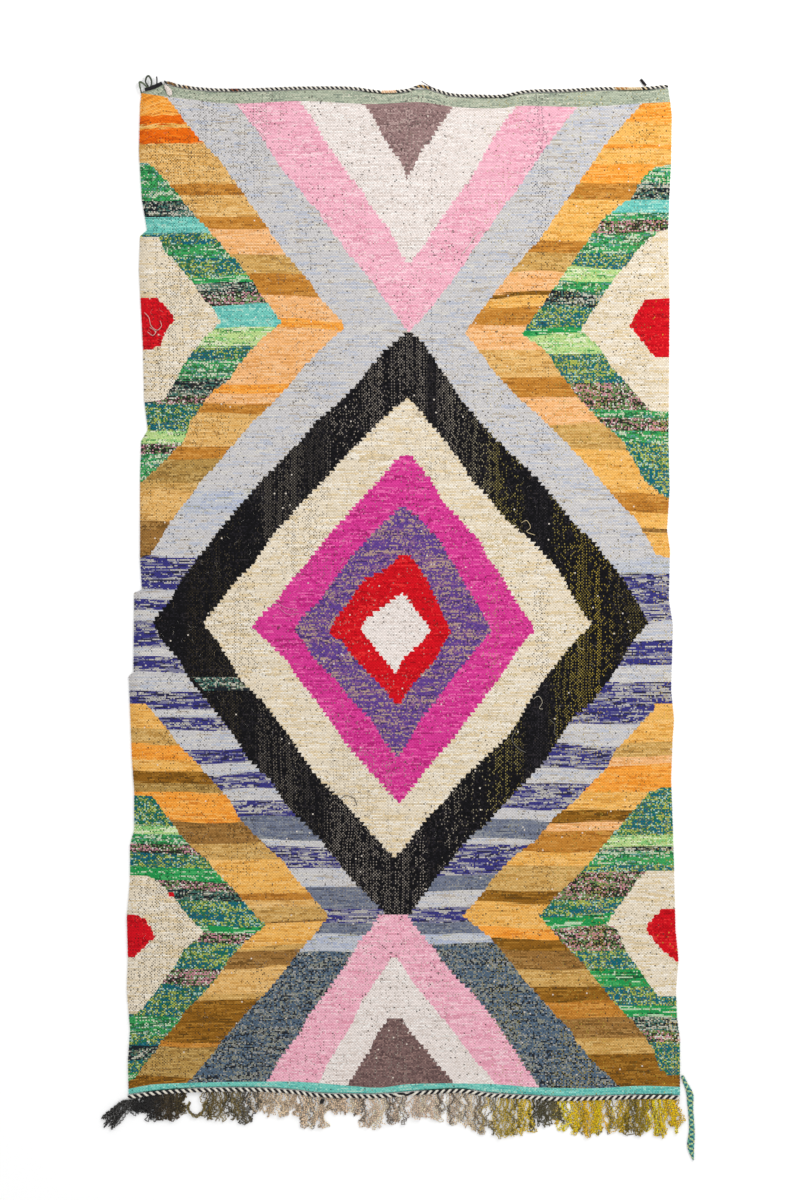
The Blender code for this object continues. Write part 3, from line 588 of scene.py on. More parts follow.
class Maker:
    """Adds nodes to one material and gives back their sockets."""

    def __init__(self, name):
        self.material = bpy.data.materials.new(name)
        self.material.use_nodes = True
        self.tree = self.material.node_tree
        self.shader = self.tree.nodes["Principled BSDF"]

    def node(self, kind, *values, **settings):
        made = self.tree.nodes.new("ShaderNode" + kind)
        for key, value in settings.items():
            setattr(made, key, value)
        for socket, value in zip(made.inputs, values):
            self.feed(socket, value)
        return made

    def feed(self, socket, value):
        if isinstance(value, bpy.types.NodeSocket):
            self.tree.links.new(value, socket)
        else:
            socket.default_value = value

    def math(self, operation, *values):
        return self.node("Math", *values, operation=operation).outputs[0]

    def times(self, first, second):
        return self.math("MULTIPLY", first, second)

    def plus(self, first, second):
        return self.math("ADD", first, second)

    def minus(self, first, second):
        return self.math("SUBTRACT", first, second)

    def scaled_sum(self, value, factor, added):
        return self.math("MULTIPLY_ADD", value, factor, added)

    def clamped_sum(self, value, factor, added):
        """The same, held between 0 and 1."""
        return self.node("Math", value, factor, added, operation="MULTIPLY_ADD", use_clamp=True).outputs[0]

    def floor(self, value):
        return self.math("FLOOR", value)

    def fract(self, value):
        return self.math("FRACT", value)

    def above(self, value, limit):
        return self.math("GREATER_THAN", value, limit)

    def below(self, value, limit):
        return self.math("LESS_THAN", value, limit)

    def within(self, value, low, high):
        return self.times(self.above(value, low), self.below(value, high))

    def centred(self, value, reach):
        """A value from 0 to 1 turned into one that reaches half of reach to both sides of 0."""
        return self.times(self.minus(value, 0.5), reach)

    def total(self, *values):
        found = values[0]
        for value in values[1:]:
            found = self.math("ADD", found, value)
        return found

    def combine(self, x, y, z=0.0):
        return self.node("CombineXYZ", x, y, z).outputs[0]

    def separate(self, vector):
        return self.node("SeparateXYZ", vector).outputs

    def mix_value(self, factor, first, second):
        made = self.node("Mix", data_type="FLOAT")
        self.feed(made.inputs[0], factor)
        self.feed(made.inputs[2], first)
        self.feed(made.inputs[3], second)
        return made.outputs[0]

    def mix_colour(self, factor, first, second, blend="MIX"):
        made = self.node("Mix", data_type="RGBA", blend_type=blend)
        self.feed(made.inputs[0], factor)
        self.feed(made.inputs[6], first)
        self.feed(made.inputs[7], second)
        return made.outputs[2]

    def scaled(self, colour, amount):
        """A colour made lighter or darker by an amount."""
        return self.mix_colour(1.0, colour, self.combine(amount, amount, amount), "MULTIPLY")

    def ramp(self, value, stops, interpolation):
        made = self.node("ValToRGB", value)
        ramp = made.color_ramp
        ramp.interpolation = interpolation
        while len(ramp.elements) < len(stops):
            ramp.elements.new(0.5)
        for element, (position, colour) in zip(ramp.elements, stops):
            element.position = position
            element.color = (*colour, 1.0)
        return made.outputs[0]

    def random(self, vector):
        """Three random values that stay the same over each whole cell of a vector."""
        made = self.node("TexWhiteNoise", vector, noise_dimensions="3D")
        return self.node("SeparateColor", made.outputs["Color"]).outputs

    def noise(self, vector, scale, detail=2.0, roughness=0.5):
        made = self.node("TexNoise", noise_dimensions="3D")
        self.feed(made.inputs["Vector"], vector)
        made.inputs["Scale"].default_value = scale
        made.inputs["Detail"].default_value = detail
        made.inputs["Roughness"].default_value = roughness
        return made.outputs[0]

    def attribute(self, name, output="Vector"):
        return self.node("Attribute", attribute_name=name, attribute_type="GEOMETRY").outputs[output]

    def bump(self, height, distance):
        made = self.node("Bump")
        made.inputs["Strength"].default_value = 1.0
        made.inputs["Distance"].default_value = distance
        self.feed(made.inputs["Height"], height)
        self.feed(self.shader.inputs["Normal"], made.outputs[0])

    def surface(self, colour, roughness, specular, sheen=None):
        """A matt surface. Sheen is how much its fibres light up at a grazing angle."""
        self.feed(self.shader.inputs["Base Color"], colour)
        self.feed(self.shader.inputs["Roughness"], roughness)
        self.shader.inputs["Specular IOR Level"].default_value = specular
        if sheen is not None:
            self.shader.inputs["Sheen Weight"].default_value = sheen
            self.shader.inputs["Sheen Roughness"].default_value = SHEEN_ROUGHNESS


# Step between the yarns in the colour tables of the cloth's material, and length of a table's last band
KIND_STEP = 1 / 32
LAST_BAND = 0.3


def kind_value(name):
    return (list(YARNS).index(name) + 0.5) * KIND_STEP


def grey(value):
    return (value, value, value)


def along_rows(make, up, top, low):
    """How far down a table a place is, from 0 to 1, between two distances up the rug in metres."""
    return make.node("MapRange", up, top, low, 0.0, 1.0).outputs[0]


def bands(make, up, table):
    """The yarn at a distance up the rug, from one block's table."""
    top = table[0][0] * MM
    low = table[-1][0] * MM - LAST_BAND
    share = along_rows(make, up, top, low)
    stops = [((top - start * MM) / (top - low), grey(kind_value(name))) for start, name in table]
    return make.ramp(share, stops, "CONSTANT")


def outline(make, up, rows):
    """The places across of one edge, or of two, at a distance up the rug."""
    top = rows[0][0] * MM
    low = rows[-1][0] * MM
    share = along_rows(make, up, top, low)
    stops = []
    for height, *places in rows:
        values = [place * MM / 2 + 0.5 for place in places] + [0.5, 0.5]
        stops.append(((top - height * MM) / (top - low), values[:3]))
    split = make.node("SeparateColor", make.ramp(share, stops, "LINEAR")).outputs
    return [make.scaled_sum(split[i], 2.0, -1.0) for i in range(len(rows[0]) - 1)]


def between_ends(make, up, rows):
    return make.within(up, rows[-1][0] * MM, rows[0][0] * MM)


def add_shape(make, kind, across, up, name, rows):
    left, right = outline(make, up, rows)
    inside = make.times(make.within(across, left, right), between_ends(make, up, rows))
    return make.mix_value(inside, kind, kind_value(name))


def add_side_block(make, kind, across, up, band_up, side, block, rows):
    place = outline(make, up, rows)[0]
    beyond = make.below(across, place) if side < 0 else make.above(across, place)
    inside = make.times(beyond, between_ends(make, up, rows))
    value = kind_value(block) if isinstance(block, str) else bands(make, band_up, block)
    return make.mix_value(inside, kind, value)


def yarn_plan(make, across, up, ragged_up, band_up):
    """The yarn at each place of the cloth, as its position in the colour tables."""
    east = make.above(across, 0.0)
    kind = make.mix_value(east, bands(make, band_up, FIELD_WEST), bands(make, band_up, FIELD_EAST))
    for name, ragged, rows in CHEVRONS:
        kind = add_shape(make, kind, across, ragged_up if ragged else up, name, rows)
    for side, blocks in ((-1, WEST_SIDE), (1, EAST_SIDE)):
        for block, rows in blocks:
            kind = add_side_block(make, kind, across, up, band_up, side, block, rows)
    for name, ragged, rows in LOZENGES:
        kind = add_shape(make, kind, across, ragged_up if ragged else up, name, rows)
    band_heights = make.separate(make.attribute("end_band"))
    for height, name in zip(band_heights, ("sage", "turquoise")):
        kind = make.mix_value(make.above(height, 0.0), kind, kind_value(name))
    return kind


def yarn_ramp(make, kind, pick):
    """A value of the yarns' table, found by the yarn's position in it."""
    stops = [(i * KIND_STEP, pick(yarn)) for i, yarn in enumerate(YARNS.values())]
    return make.ramp(kind, stops, "CONSTANT")


def joins(make, x, y, place, row_random):
    """Places across and up as the joins see them: stepped, toothed and swaying instead of straight."""
    drift = make.noise(make.combine(0.0, make.times(y, TOOTH_DRIFT_SCALE)), 1.0, 1.0)
    step = make.plus(make.math("DIVIDE", y, TOOTH), make.times(drift, TOOTH_DRIFT))
    tooth_random = make.random(make.combine(make.floor(step), TOOTH_SEED))
    into_tooth = make.centred(make.fract(step), TOOTH)
    sway = make.centred(make.noise(place, SWAY_SCALE, 1.0), JOIN_SWAY)
    jitter = make.centred(row_random[0], PICK_JITTER)
    tooth_jitter = make.centred(tooth_random[0], TOOTH_JITTER)
    across = make.total(x, sway, jitter, tooth_jitter)
    up = make.minus(y, make.times(into_tooth, STEP_DEPTH))
    depth = make.scaled_sum(tooth_random[1], TOOTH_DEPTH, TOOTH_DEPTH * 0.5)
    ragged_up = make.minus(y, make.times(into_tooth, depth))
    return across, up, ragged_up


def stretched(make, x, y, stretch, seed=0.0):
    return make.combine(make.times(x, stretch[0]), make.times(y, stretch[1]), seed)


def warp_chance(make, x, y, column, peek):
    """How likely the warp shows on the face, which some stretches and some ends have more of."""
    zone = make.noise(stretched(make, x, y, ZONE_STRETCH, ZONE_SEED), 1.0, 3.0, 0.6)
    zone = make.clamped_sum(zone, ZONE_GAIN, ZONE_OFFSET)
    chance = make.times(peek, make.scaled_sum(zone, ZONE_CHANCE, LEAST_CHANCE))
    for west, east, low, high in DOTTED_STRETCHES:
        inside = make.times(make.within(x, west * MM, east * MM), make.within(y, low * MM, high * MM))
        chance = make.scaled_sum(inside, DOTTED_CHANCE, chance)
    uneven = make.scaled_sum(make.math("POWER", column[0], END_UNEVENNESS), END_CHANCE, LEAST_END_CHANCE)
    return make.times(chance, uneven)


def warp_specks(make, x, y, end, pick, cell, peek):
    """Where the warp shows, one stitch at a time, and its colour there."""
    end_number = make.floor(end)
    parity = make.fract(make.times(make.plus(end_number, make.floor(pick)), 0.5))
    column = make.random(make.combine(end_number, WARP_SEED))
    chance = warp_chance(make, x, y, column, peek)
    chosen = make.times(make.above(parity, 0.25), make.below(cell[2], chance))
    for place, reach in ((end, SPECK_HALF_WIDTH), (pick, SPECK_HALF_LENGTH)):
        off_middle = make.math("ABSOLUTE", make.minus(make.fract(place), 0.5))
        chosen = make.times(chosen, make.below(off_middle, reach))
    share = make.node("MapRange", x, -WARP_SPAN * MM, WARP_SPAN * MM, 0.0, 1.0).outputs[0]
    stops = [((across + WARP_SPAN) / (2 * WARP_SPAN), linear(tone)) for across, tone in WARP_COLOURS]
    tone = make.scaled(make.ramp(share, stops, "LINEAR"), make.scaled_sum(column[1], END_TONES, DARKEST_END))
    return make.times(chosen, make.scaled_sum(cell[0], 0.5, 0.5)), tone


def stitch_colour(make, kind, share, runs, end, pick_number, row_random, cell, patch):
    """One of the yarn's four colours for each stitch, alone or along a run of the pick."""
    run_length = make.scaled_sum(row_random[2], RUN_LENGTHS, SHORTEST_RUN)
    run_place = make.plus(make.math("DIVIDE", end, run_length), make.times(row_random[0], RUN_OFFSET))
    run = make.random(make.combine(make.floor(run_place), pick_number, RUN_SEED))
    running = make.below(cell[1], runs)
    draw = make.mix_value(running, cell[0], run[0])
    other_draw = make.mix_value(running, cell[2], run[1])
    share = make.plus(share, make.scaled_sum(patch, 2.0, -1.0))
    colours = [yarn_ramp(make, kind, lambda yarn, k=k: linear(yarn[k])) for k in range(4)]
    other = make.mix_colour(make.above(other_draw, FOURTH_COLOUR_FROM), colours[2], colours[3])
    other = make.mix_colour(make.above(other_draw, THIRD_COLOUR_FROM), colours[1], other)
    return make.mix_colour(make.above(draw, share), colours[0], other)


def weave_height(make, end, pick, pick_number):
    """The relief of the plain weave: floats of the weft over every second warp end."""
    float_phase = make.times(make.plus(end, pick_number), math.pi)
    over = make.scaled_sum(make.math("COSINE", float_phase), 0.5, 0.5)
    round_pick = make.math("SINE", make.times(make.fract(pick), math.pi))
    float_height = make.scaled_sum(over, FLOAT_SHARE, 1 - FLOAT_SHARE)
    return make.times(float_height, make.math("POWER", round_pick, PICK_ROUNDNESS))


def add_spots(make, colour, place, end_number, pick_number):
    """Stray dark burrs and pale neps spun into the yarn."""
    burr_chance = make.clamped_sum(make.noise(place, BURR_SCALE, 2.0), BURR_GAIN, BURR_OFFSET)
    spots = make.random(make.combine(end_number, pick_number, SPOT_SEED))
    for i, chance, tone in ((0, burr_chance, BURR_COLOUR), (1, NEP_CHANCE, NEP_COLOUR)):
        there = make.times(make.below(spots[i], chance), SPOT_STRENGTH)
        colour = make.mix_colour(there, colour, (*linear(tone), 1.0))
    return colour


def woven_cloth_material():
    """Every stitch of the cloth: which yarn it is, its own shade, the painted shade of the dips between
    stitches, and the relief of the plain weave.
    """
    make = Maker("woven_cloth")
    place = make.node("TexCoord").outputs["Object"]
    x, y, _ = make.separate(place)
    end, pick, _ = make.separate(make.attribute("weave"))
    end_number = make.floor(end)
    pick_number = make.floor(pick)
    row_random = make.random(make.combine(pick_number, PICK_SEED))
    cell = make.random(make.combine(end_number, pick_number))

    # The bands lean and wave a little, and no pick of them starts at quite the same height
    across, up, ragged_up = joins(make, x, y, place, row_random)
    lean = make.centred(make.noise(make.combine(x, y, LEAN_SEED), LEAN_SCALE, 1.0), BAND_LEAN)
    band_up = make.total(y, lean, make.centred(row_random[1], ROW_SHIFT))
    kind = yarn_plan(make, across, up, ragged_up, band_up)
    share, runs, peek = make.node("SeparateColor", yarn_ramp(make, kind, lambda yarn: yarn[4:])).outputs
    patch = make.noise(stretched(make, x, y, PATCH_STRETCH), PATCH_SCALE, 3.0)
    colour = stitch_colour(make, kind, share, runs, end, pick_number, row_random, cell, patch)

    # Slight shades: stitch by stitch, pick by pick, and over wide patches
    shade = make.total(
        DARKEST_SHADE,
        make.times(cell[2], STITCH_SHADE),
        make.times(row_random[1], PICK_SHADE),
        make.times(make.noise(place, WIDE_SCALE, 3.0), WIDE_SHADE),
        make.times(patch, PATCH_SHADE),
    )
    colour = make.scaled(colour, shade)

    # Painted shade: the dips between stitches are painted darker, and most where the warp shows through
    height = weave_height(make, end, pick, pick_number)
    depth = make.scaled_sum(peek, -BLEND_DIP_SHADE, -PLAIN_DIP_SHADE)
    colour = make.scaled(colour, make.scaled_sum(make.minus(1.0, height), depth, STITCH_TOP))
    shows, warp_tone = warp_specks(make, x, y, end, pick, cell, peek)
    colour = make.mix_colour(shows, colour, warp_tone)
    colour = add_spots(make, colour, place, end_number, pick_number)

    fibres = make.noise(stretched(make, x, y, FIBRE_STRETCH), 1.0, 3.0)
    colour = make.scaled(colour, make.scaled_sum(fibres, FIBRE_SHADE, 1 - FIBRE_SHADE / 2))
    roughness = make.scaled_sum(fibres, ROUGHNESS_SPREAD, CLOTH_ROUGHNESS)
    make.surface(colour, roughness, CLOTH_SPECULAR, CLOTH_SHEEN)
    make.bump(make.scaled_sum(fibres, FIBRE_RELIEF, height), CLOTH_RELIEF)
    return make.material


def link(obj):
    bpy.context.scene.collection.objects.link(obj)
    return obj


def shaded_smooth(mesh):
    mesh.polygons.foreach_set("use_smooth", [True] * len(mesh.polygons))


def selvedge_shift(row_index, side):
    """How far a weft's turn stands out from the selvedge."""
    turn = TURN_BULGE * math.cos(math.pi * row_index / 2)
    rough = EDGE_ROUGH * noise.noise(Vector((row_index * ROUGH_SCALE, side * 5.0, 0.0)))
    return side * (turn + rough)


def face_height(across, up, row_index):
    """Height of the upper face: a rib for each pick, the slow waves of the slack, and small puckers."""
    rib = RIB if row_index % 2 else -RIB
    wave = math.sin(across * SLACK_ACROSS + math.sin(up * SLACK_BEND_SCALE) * SLACK_BEND)
    slack = UNEVEN * wave * math.sin(up * SLACK_UP + SLACK_PHASE)
    pucker = PUCKER * noise.noise(Vector((across * PUCKER_ACROSS, up * PUCKER_UP, 0.0)))
    return CLOTH_THICK + rib + slack + pucker


def cloth_faces(top, middle, under, last):
    """The faces of the closed sheet, and how many of them belong to the upper side."""
    every = TOP_COLUMNS // UNDER_COLUMNS
    faces = []
    for r in range(last):
        for c in range(TOP_COLUMNS):
            faces.append((top[r][c], top[r + 1][c], top[r + 1][c + 1], top[r][c + 1]))
    for r in (0, last):
        for c in range(TOP_COLUMNS):
            faces.append((top[r][c], top[r][c + 1], middle[r, c + 1], middle[r, c]))
    for r in range(last):
        for c in (0, TOP_COLUMNS):
            faces.append((top[r][c], top[r + 1][c], middle[r + 1, c], middle[r, c]))
    upper_faces = len(faces)
    for r in range(last):
        for c in range(UNDER_COLUMNS):
            faces.append((under[r][c], under[r][c + 1], under[r + 1][c + 1], under[r + 1][c]))
        for c in (0, UNDER_COLUMNS):
            faces.append((under[r][c], under[r + 1][c], middle[r + 1, c * every], middle[r, c * every]))
    for r in (0, last):
        for c in range(UNDER_COLUMNS):
            rim = tuple(middle[r, k] for k in range(c * every, (c + 1) * every + 1))
            faces.append(rim + (under[r][c + 1], under[r][c]))
    return faces, upper_faces


def rug_cloth():
    """The whole cloth as one closed sheet with a rib for each pick."""
    last = 2 * round(2 * CLOTH_HALF / PICK)
    points = []
    weave = []
    end_band = []

    def add(across, up, z, share, row_index):
        points.append((across, up, z))
        weave.append((share * WARP_ENDS, row_index / 2, 0.0))
        sage = up - smooth_between(SAGE_LINE, across)[0]
        turquoise = smooth_between(TURQUOISE_LINE, across)[0] - up
        end_band.append((sage, turquoise, 0.0))
        return len(points) - 1

    top = []
    middle = {}
    under = []
    for r in range(last + 1):
        row = CLOTH_HALF - 2 * CLOTH_HALF * r / last
        end = (r == 0) - (r == last)
        top.append([])
        under.append([])
        for c in range(TOP_COLUMNS + 1):
            share = c / TOP_COLUMNS
            side = (c == TOP_COLUMNS) - (c == 0)
            across, up = cloth_point(share, row)
            across += selvedge_shift(r, side) if side else 0.0
            inner = (across - side * EDGE_ROUND, up - end * EDGE_ROUND)
            lowered = RIM_DROP if side or end else 0.0
            top[r].append(add(*inner, face_height(across, up, r) - lowered, share, r))
            if side or end:
                middle[r, c] = add(across, up, CLOTH_THICK / 2, share, r)
            if c % (TOP_COLUMNS // UNDER_COLUMNS) == 0:
                under[r].append(add(*inner, 0.0, share, r))

    faces, upper_faces = cloth_faces(top, middle, under, last)
    mesh = bpy.data.meshes.new("woven_rug")
    mesh.from_pydata(points, [], faces)
    for name, values in (("weave", weave), ("end_band", end_band)):
        layer = mesh.attributes.new(name, "FLOAT_VECTOR", "POINT")
        layer.data.foreach_set("vector", [value for row in values for value in row])
    add_bake_map(mesh, upper_faces)
    turned_out(mesh)
    shaded_smooth(mesh)
    mesh.materials.append(woven_cloth_material())
    return link(bpy.data.objects.new("woven_rug", mesh))


def add_bake_map(mesh, upper_faces):
    """Flat map of both sides: the upper face in the left half and the underside in the right half."""
    layer = mesh.uv_layers.new(name="OFBake")
    values = []
    for polygon in mesh.polygons:
        start = 0.0 if polygon.index < upper_faces else 0.5
        for index in polygon.vertices:
            place = mesh.vertices[index].co
            values.append(start + 0.25 + place.x / BAKE_WIDTH)
            values.append(0.5 + place.y / BAKE_LENGTH)
    layer.data.foreach_set("uv", values)


def turned_out(mesh):
    bm = bmesh.new()
    bm.from_mesh(mesh)
    bmesh.ops.recalc_face_normals(bm, faces=bm.faces)
    bm.to_mesh(mesh)
    bm.free()


# A yarn less level than this keeps its last side, and the yarns' numbers start over at the second
LEAST_LEVEL = 0.15
YARN_NUMBERS = 97


class YarnMesh:
    """Many yarns as tubes in one mesh, each point with its dye, its distance along and its turn."""

    def __init__(self):
        self.points = []
        self.faces = []
        self.dyes = []
        self.runs = []

    def add(self, path, radii, dye, sides=6, flat=1.0):
        """One yarn along a path. dye is one colour, or a function of the share of the way along."""
        start = len(self.points)
        along = 0.0
        side = Vector((1.0, 0.0, 0.0))
        for i, place in enumerate(path):
            before = path[max(i - 1, 0)]
            after = path[min(i + 1, len(path) - 1)]
            direction = (after - before).normalized()
            crossed = direction.cross(Vector((0.0, 0.0, 1.0)))
            if crossed.length > LEAST_LEVEL:
                side = crossed.normalized()
            side = (side - direction * side.dot(direction)).normalized()
            above = side.cross(direction)
            along += (place - before).length
            radius = radii[i] if isinstance(radii, list) else radii
            colour = dye(i / (len(path) - 1)) if callable(dye) else dye
            for k in range(sides):
                angle = 2 * math.pi * k / sides
                spot = place + side * (math.cos(angle) * radius) + above * (math.sin(angle) * radius * flat)
                self.points.append(spot)
                self.dyes.extend((*colour, 1.0))
                self.runs.extend((along, k / sides, start % YARN_NUMBERS))
        for i in range(len(path) - 1):
            for k in range(sides):
                a = start + i * sides + k
                b = start + i * sides + (k + 1) % sides
                self.faces.append((a, b, b + sides, a + sides))
        end = start + (len(path) - 1) * sides
        self.faces.append(tuple(start + k for k in reversed(range(sides))))
        self.faces.append(tuple(end + k for k in range(sides)))

    def make(self, name, material):
        mesh = bpy.data.meshes.new(name)
        mesh.from_pydata(self.points, [], self.faces)
        dye = mesh.attributes.new("dye", "FLOAT_COLOR", "POINT")
        dye.data.foreach_set("color", self.dyes)
        run = mesh.attributes.new("run", "FLOAT_VECTOR", "POINT")
        run.data.foreach_set("vector", self.runs)
        turned_out(mesh)
        shaded_smooth(mesh)
        mesh.materials.append(material)
        return link(bpy.data.objects.new(name, mesh))


# Distance from one painted dark band along a yarn to the next, which stands in for the shade
# between strands, scales of its fibres and of its wider patches, and the depth of its twist's ridges
SHADE_BAND_LENGTH = 0.0068
YARN_FIBRE_SCALE = 900.0
YARN_PATCH_SCALE = 60.0
YARN_RELIEF = 0.0004

# How much of a yarn's shade its darkest fibres and its patches take, and its matt surface
DARKEST_FIBRE = 1.3
PATCH_SHARE = 1.6
YARN_FIBRE_RELIEF = 0.5
YARN_ROUGHNESS = 0.8
YARN_ROUGHNESS_SPREAD = 0.14
YARN_SPECULAR = 0.2


def yarn_material(name, twist=0.0032, shade=0.16, sheen=0.1, groove_shade=0.08, shade_bands=0.0):
    """Spun wool: its dye with lighter and darker fibres, the ridges of its twist with painted shade in its
    grooves, and painted dark bands along it for the shade between strands.
    """
    make = Maker(name)
    along, turn, number = make.separate(make.attribute("run"))
    place = make.node("TexCoord").outputs["Object"]
    phase = make.plus(make.math("DIVIDE", along, twist), make.times(turn, 2.0))
    ridge = make.math("SINE", make.times(phase, 2 * math.pi))
    shade_band_phase = make.scaled_sum(along, 2 * math.pi / SHADE_BAND_LENGTH, number)
    shade_band = make.math("SINE", shade_band_phase)
    fibres = make.noise(place, YARN_FIBRE_SCALE, 3.0)
    patch = make.noise(place, YARN_PATCH_SCALE, 2.0)
    # Painted shade: the twist's grooves are painted darker than its ridges, and dark bands along the yarn
    # stand in for the shade between strands
    amount = make.total(
        1.0 - shade * DARKEST_FIBRE,
        make.times(fibres, shade),
        make.times(patch, shade * PATCH_SHARE),
        make.times(ridge, groove_shade),
        make.times(shade_band, shade_bands),
    )
    colour = make.scaled(make.attribute("dye", "Color"), amount)
    roughness = make.scaled_sum(fibres, YARN_ROUGHNESS_SPREAD, YARN_ROUGHNESS)
    make.surface(colour, roughness, YARN_SPECULAR, sheen)
    make.bump(make.scaled_sum(fibres, YARN_FIBRE_RELIEF, ridge), YARN_RELIEF)
    return make.material


BLACK_YARN = (26, 25, 30)
WHITE_YARN = (232, 226, 212)

# Stretches of the top cord whose pale yarn is another colour: from, to, colour
TOP_CORD_CHANGES = (
    (-640, -617, (150, 112, 66)), (-601, -579, (214, 182, 140)), (-468, -450, (140, 84, 60)),
    (-62, -23, (228, 186, 146)), (36, 69, (206, 168, 110)), (568, 601, (172, 116, 52)),
    (601, 655, (226, 206, 168)),
)
# Stretches where the dark yarn is pale or brown as well
TOP_CORD_PALE_DARKS = (
    (-640, -617, (96, 74, 50)), (-62, -23, (236, 204, 170)), (568, 640, (214, 188, 146)),
)

# Twined cords: first and last place across, length of a yarn's turn, radius of the twist and of a yarn
TOP_CORD = (-0.648, 0.711, 0.0125, 0.0019, 0.0023)
BOTTOM_CORD = (-0.745, 0.741, 0.0172, 0.0026, 0.0031)
STEPS_PER_TURN = 12
UNEVEN_TWIST = 0.15
LOOSE_TWIST = 0.12
LOOSENESS_SCALE = 40
TWIST_FLATNESS = 0.85
CORD_SEED = 5

# Where the bottom cord's twist changes over: its reach, and the half turn in its very middle
HAND_CHANGE = 0.03
MIDDLE_REACH = 0.004
MIDDLE_HAND = 0.6


def changed(table, across, usual):
    for low, high, colour in table:
        if low * MM <= across <= high * MM:
            return colour
    return usual


def twined_cord(name, table, sizes, hand, pale_changes, dark_changes, material):
    """Two yarns that wind round each other along the end of the cloth, one dark and one pale."""
    start, end, pitch, radius, strand = sizes
    yarns = YarnMesh()
    count = round((end - start) / pitch * STEPS_PER_TURN)
    chance = random.Random(CORD_SEED)
    turn = 0.0
    paths = ([], [])
    for i in range(count + 1):
        across = start + (end - start) * i / count
        up, slope = smooth_between(table, across)
        direction = Vector((1.0, slope, 0.0)).normalized()
        side = Vector((-direction.y, direction.x, 0.0))
        loose = 1.0 + LOOSE_TWIST * noise.noise(Vector((across * LOOSENESS_SCALE, 1.0, 0.0)))
        for k, path in enumerate(paths):
            angle = turn + math.pi * k
            offset = side * math.cos(angle) * radius * loose
            lift = strand + radius + math.sin(angle) * radius * TWIST_FLATNESS
            path.append(Vector((across, up, lift)) + offset)
        uneven = 1 + UNEVEN_TWIST * (chance.random() - 0.5)
        turn += hand(across) * 2 * math.pi / STEPS_PER_TURN * uneven
    for k, path in enumerate(paths):
        def dye(share, changes=(dark_changes, pale_changes)[k], usual=(BLACK_YARN, WHITE_YARN)[k]):
            return linear(changed(changes, start + (end - start) * share, usual))
        yarns.add(path, strand, dye, 7)
    return yarns.make(name, material)


def bottom_hand(across):
    """Which way the bottom cord winds, and how tightly."""
    return -math.tanh(across / HAND_CHANGE) if abs(across) > MIDDLE_REACH else MIDDLE_HAND


# Colours of the fringe: place across, colour
FRINGE_COLOURS = (
    (-830, (46, 44, 42)), (-690, (40, 38, 38)), (-640, (74, 62, 44)), (-600, (92, 78, 46)),
    (-585, (124, 104, 54)), (-520, (136, 116, 62)), (-452, (136, 120, 76)), (-438, (94, 88, 76)),
    (-412, (112, 102, 86)), (-400, (224, 200, 168)), (-230, (236, 208, 178)), (-60, (238, 212, 186)),
    (120, (240, 214, 190)), (215, (238, 212, 172)), (246, (222, 192, 72)), (340, (218, 188, 54)),
    (356, (96, 90, 62)), (402, (104, 96, 66)), (420, (252, 206, 20)), (566, (252, 204, 18)),
    (578, (208, 176, 40)), (650, (196, 166, 38)), (664, (252, 206, 18)), (760, (248, 202, 24)),
)

# Tufts of the fringe: first and last root, how far the first and last tips reach, and their drift
TUFTS = (
    (-729, -668, -1416, -1404, -8), (-690, -628, -1427, -1436, -3), (-640, -590, -1430, -1405, 2),
    (-540, -485, -1424, -1433, -3), (-486, -444, -1430, -1434, 4), (-446, -410, -1441, -1428, 3),
    (-412, -350, -1409, -1418, 0), (-350, -285, -1417, -1424, 2), (-285, -212, -1452, -1450, 4),
    (-212, -185, -1412, -1406, 0), (-185, -153, -1415, -1414, 0), (-147, -117, -1420, -1419, 2),
    (-118, -52, -1455, -1453, -2), (-55, 9, -1434, -1441, 0), (24, 69, -1428, -1428, 2),
    (68, 106, -1431, -1430, 0), (112, 166, -1440, -1444, -2), (166, 246, -1455, -1471, 2),
    (256, 301, -1474, -1472, -2), (300, 349, -1470, -1466, 2), (356, 398, -1447, -1445, 0),
    (396, 424, -1440, -1446, 8), (420, 487, -1463, -1469, 2), (484, 560, -1474, -1462, 0),
    (574, 622, -1466, -1468, -3), (618, 664, -1469, -1470, 0), (662, 702, -1473, -1476, 3),
    (698, 740, -1472, -1450, 12),
)
# The black tassel of the corner: root, bend and tip of its yarns
CORNER_TASSEL = (
    ((-752, -1374), (-782, -1390), (-814, -1422)),
    ((-744, -1376), (-774, -1398), (-806, -1444)),
    ((-738, -1376), (-764, -1404), (-792, -1450)),
    ((-730, -1378), (-758, -1402), (-784, -1438)),
)
TASSEL_STRANDS = 22
TASSEL_TONES = (26, 34, 48, 84)
TASSEL_SPLAY = 0.007
TASSEL_RADIUS = 0.0014
TASSEL_HEIGHT = 0.0018
TASSEL_LAYER = 0.0016
TASSEL_KINK_LENGTH = 0.012
TASSEL_STEPS = 40
TASSEL_ROOT_SHARE = 0.3
# The thick loop that stands open: its way, and the yarns that lie along it
OPEN_LOOP = ((-579, -1380), (-583, -1400), (-563, -1418), (-543, -1402), (-540, -1380))
OPEN_LOOP_STRANDS = 4
OPEN_LOOP_RADIUS = 0.0013
OPEN_LOOP_HEIGHT = 0.002
OPEN_LOOP_LAYER = 0.0008
OPEN_LOOP_SMALLEST = 0.92
OPEN_LOOP_GROWTH = 0.07
OPEN_LOOP_KINKS = (0.0012, 0.011)

# How close the loops of the fringe hang: usually, in the dark corner, and in the yellow part
LOOP_SPACING = 0.0063
DARK_LOOP_SPACING = 0.0034
DARK_CORNER = -0.585
YELLOW_LOOP_SPACING = 0.0051
YELLOW_FROM = 0.24

